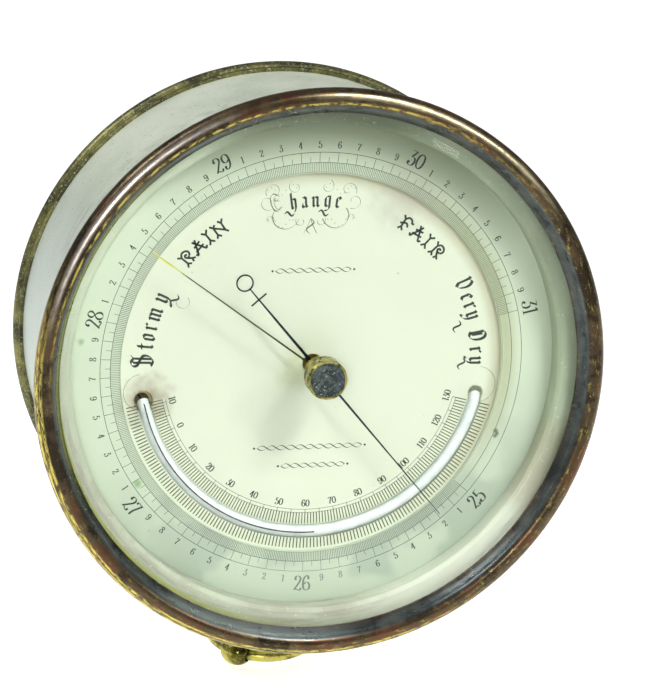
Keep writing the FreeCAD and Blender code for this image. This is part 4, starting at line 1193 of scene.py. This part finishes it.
# ---- stage
FLOOR_LEVEL = -0.0868
FLOOR_REACH = 12
WHITE = (1, 1, 1, 1)
LAMPS = (       # name, place, width and height in metres, then power in watts
    ("key_above", (0.43, -0.86, 0.93), (0.26, 0.26), 5.6),
    ("right_panel", (0.78, -0.91, 0.57), (0.1, 0.16), 2),
    ("fill_left", (-0.36, -1.19, 0.24), (0.12, 0.16), 2.2),
    ("side_left", (-0.72, -0.12, 0.95), (0.3, 0.5), 5))


def make_lamps():
    middle = Vector((0, -0.04, 0))
    for name, place, size, power in LAMPS:
        light = bpy.data.lights.new(name, "AREA")
        light.shape = "RECTANGLE"
        light.size, light.size_y = size
        light.energy = power
        lamp = add_object(name, light)
        lamp.location = place
        lamp.rotation_mode = "QUATERNION"
        lamp.rotation_quaternion = (middle - Vector(place)).to_track_quat("-Z", "Y")


def make_floor():
    """Pale floor that glows toward the back, where the photo's paper is white."""
    paint = Paint("studio_floor")
    paint.base(paint.noise(6, 4, 0.5), (0.84, 0.84, 0.84), (0.87, 0.87, 0.87))
    glow = paint.ramp(paint.y, -0.22, -0.07, 0, 0.72)
    material = paint.finish(paint.node("BsdfPrincipled", {
        "Base Color": paint.colour, "Roughness": 0.9, "Emission Color": WHITE, "Emission Strength": glow}))
    bm = bmesh.new()
    ends = ((-1, -1), (1, -1), (1, 1), (-1, 1))
    bm.faces.new([bm.verts.new((x * FLOOR_REACH, y * FLOOR_REACH, FLOOR_LEVEL)) for x, y in ends])
    floor = mesh_object("floor", bm, material)


def make_world():
    world = bpy.data.worlds.new("studio")
    world.use_nodes = True
    background = world.node_tree.nodes["Background"]
    background.inputs["Color"].default_value = WHITE
    background.inputs["Strength"].default_value = 0.25
    bpy.context.scene.world = world
    bpy.context.scene.view_settings.view_transform = "Standard"


def make_camera():
    """Long lens, seen from the dial's left and a little above."""
    distance = 1.0573
    azimuth, elevation, roll = -14.325, 14.762, 1.945
    target = Vector((0.00338, -0.051, 0.00414))
    turn, rise = math.radians(azimuth), math.radians(elevation)
    back = Vector((math.sin(turn) * math.cos(rise), -math.cos(turn) * math.cos(rise), math.sin(rise)))
    data = bpy.data.cameras.new("camera")
    data.lens = 211.7
    data.sensor_width = 36
    camera = add_object("camera", data)
    camera.location = target + back * distance
    camera.rotation_mode = "QUATERNION"
    level = (-back).to_track_quat("-Z", "Y")
    camera.rotation_quaternion = level @ Matrix.Rotation(math.radians(roll), 3, "Z").to_quaternion()
    bpy.context.scene.camera = camera


dress_frame()
make_bezel()
make_drum()
make_rear_ring()
make_glass()
make_reflector()
make_dial()
engrave_pressure_scale()
engrave_thermometer()
engrave_words()
engrave_flourishes()
engrave_ribbons()
make_thermometer()
make_indicator()
make_leaf_spring()
make_capsule()
make_set_hand()
make_knob()
make_pendant()
make_lamps()
make_floor()
make_world()
make_camera()
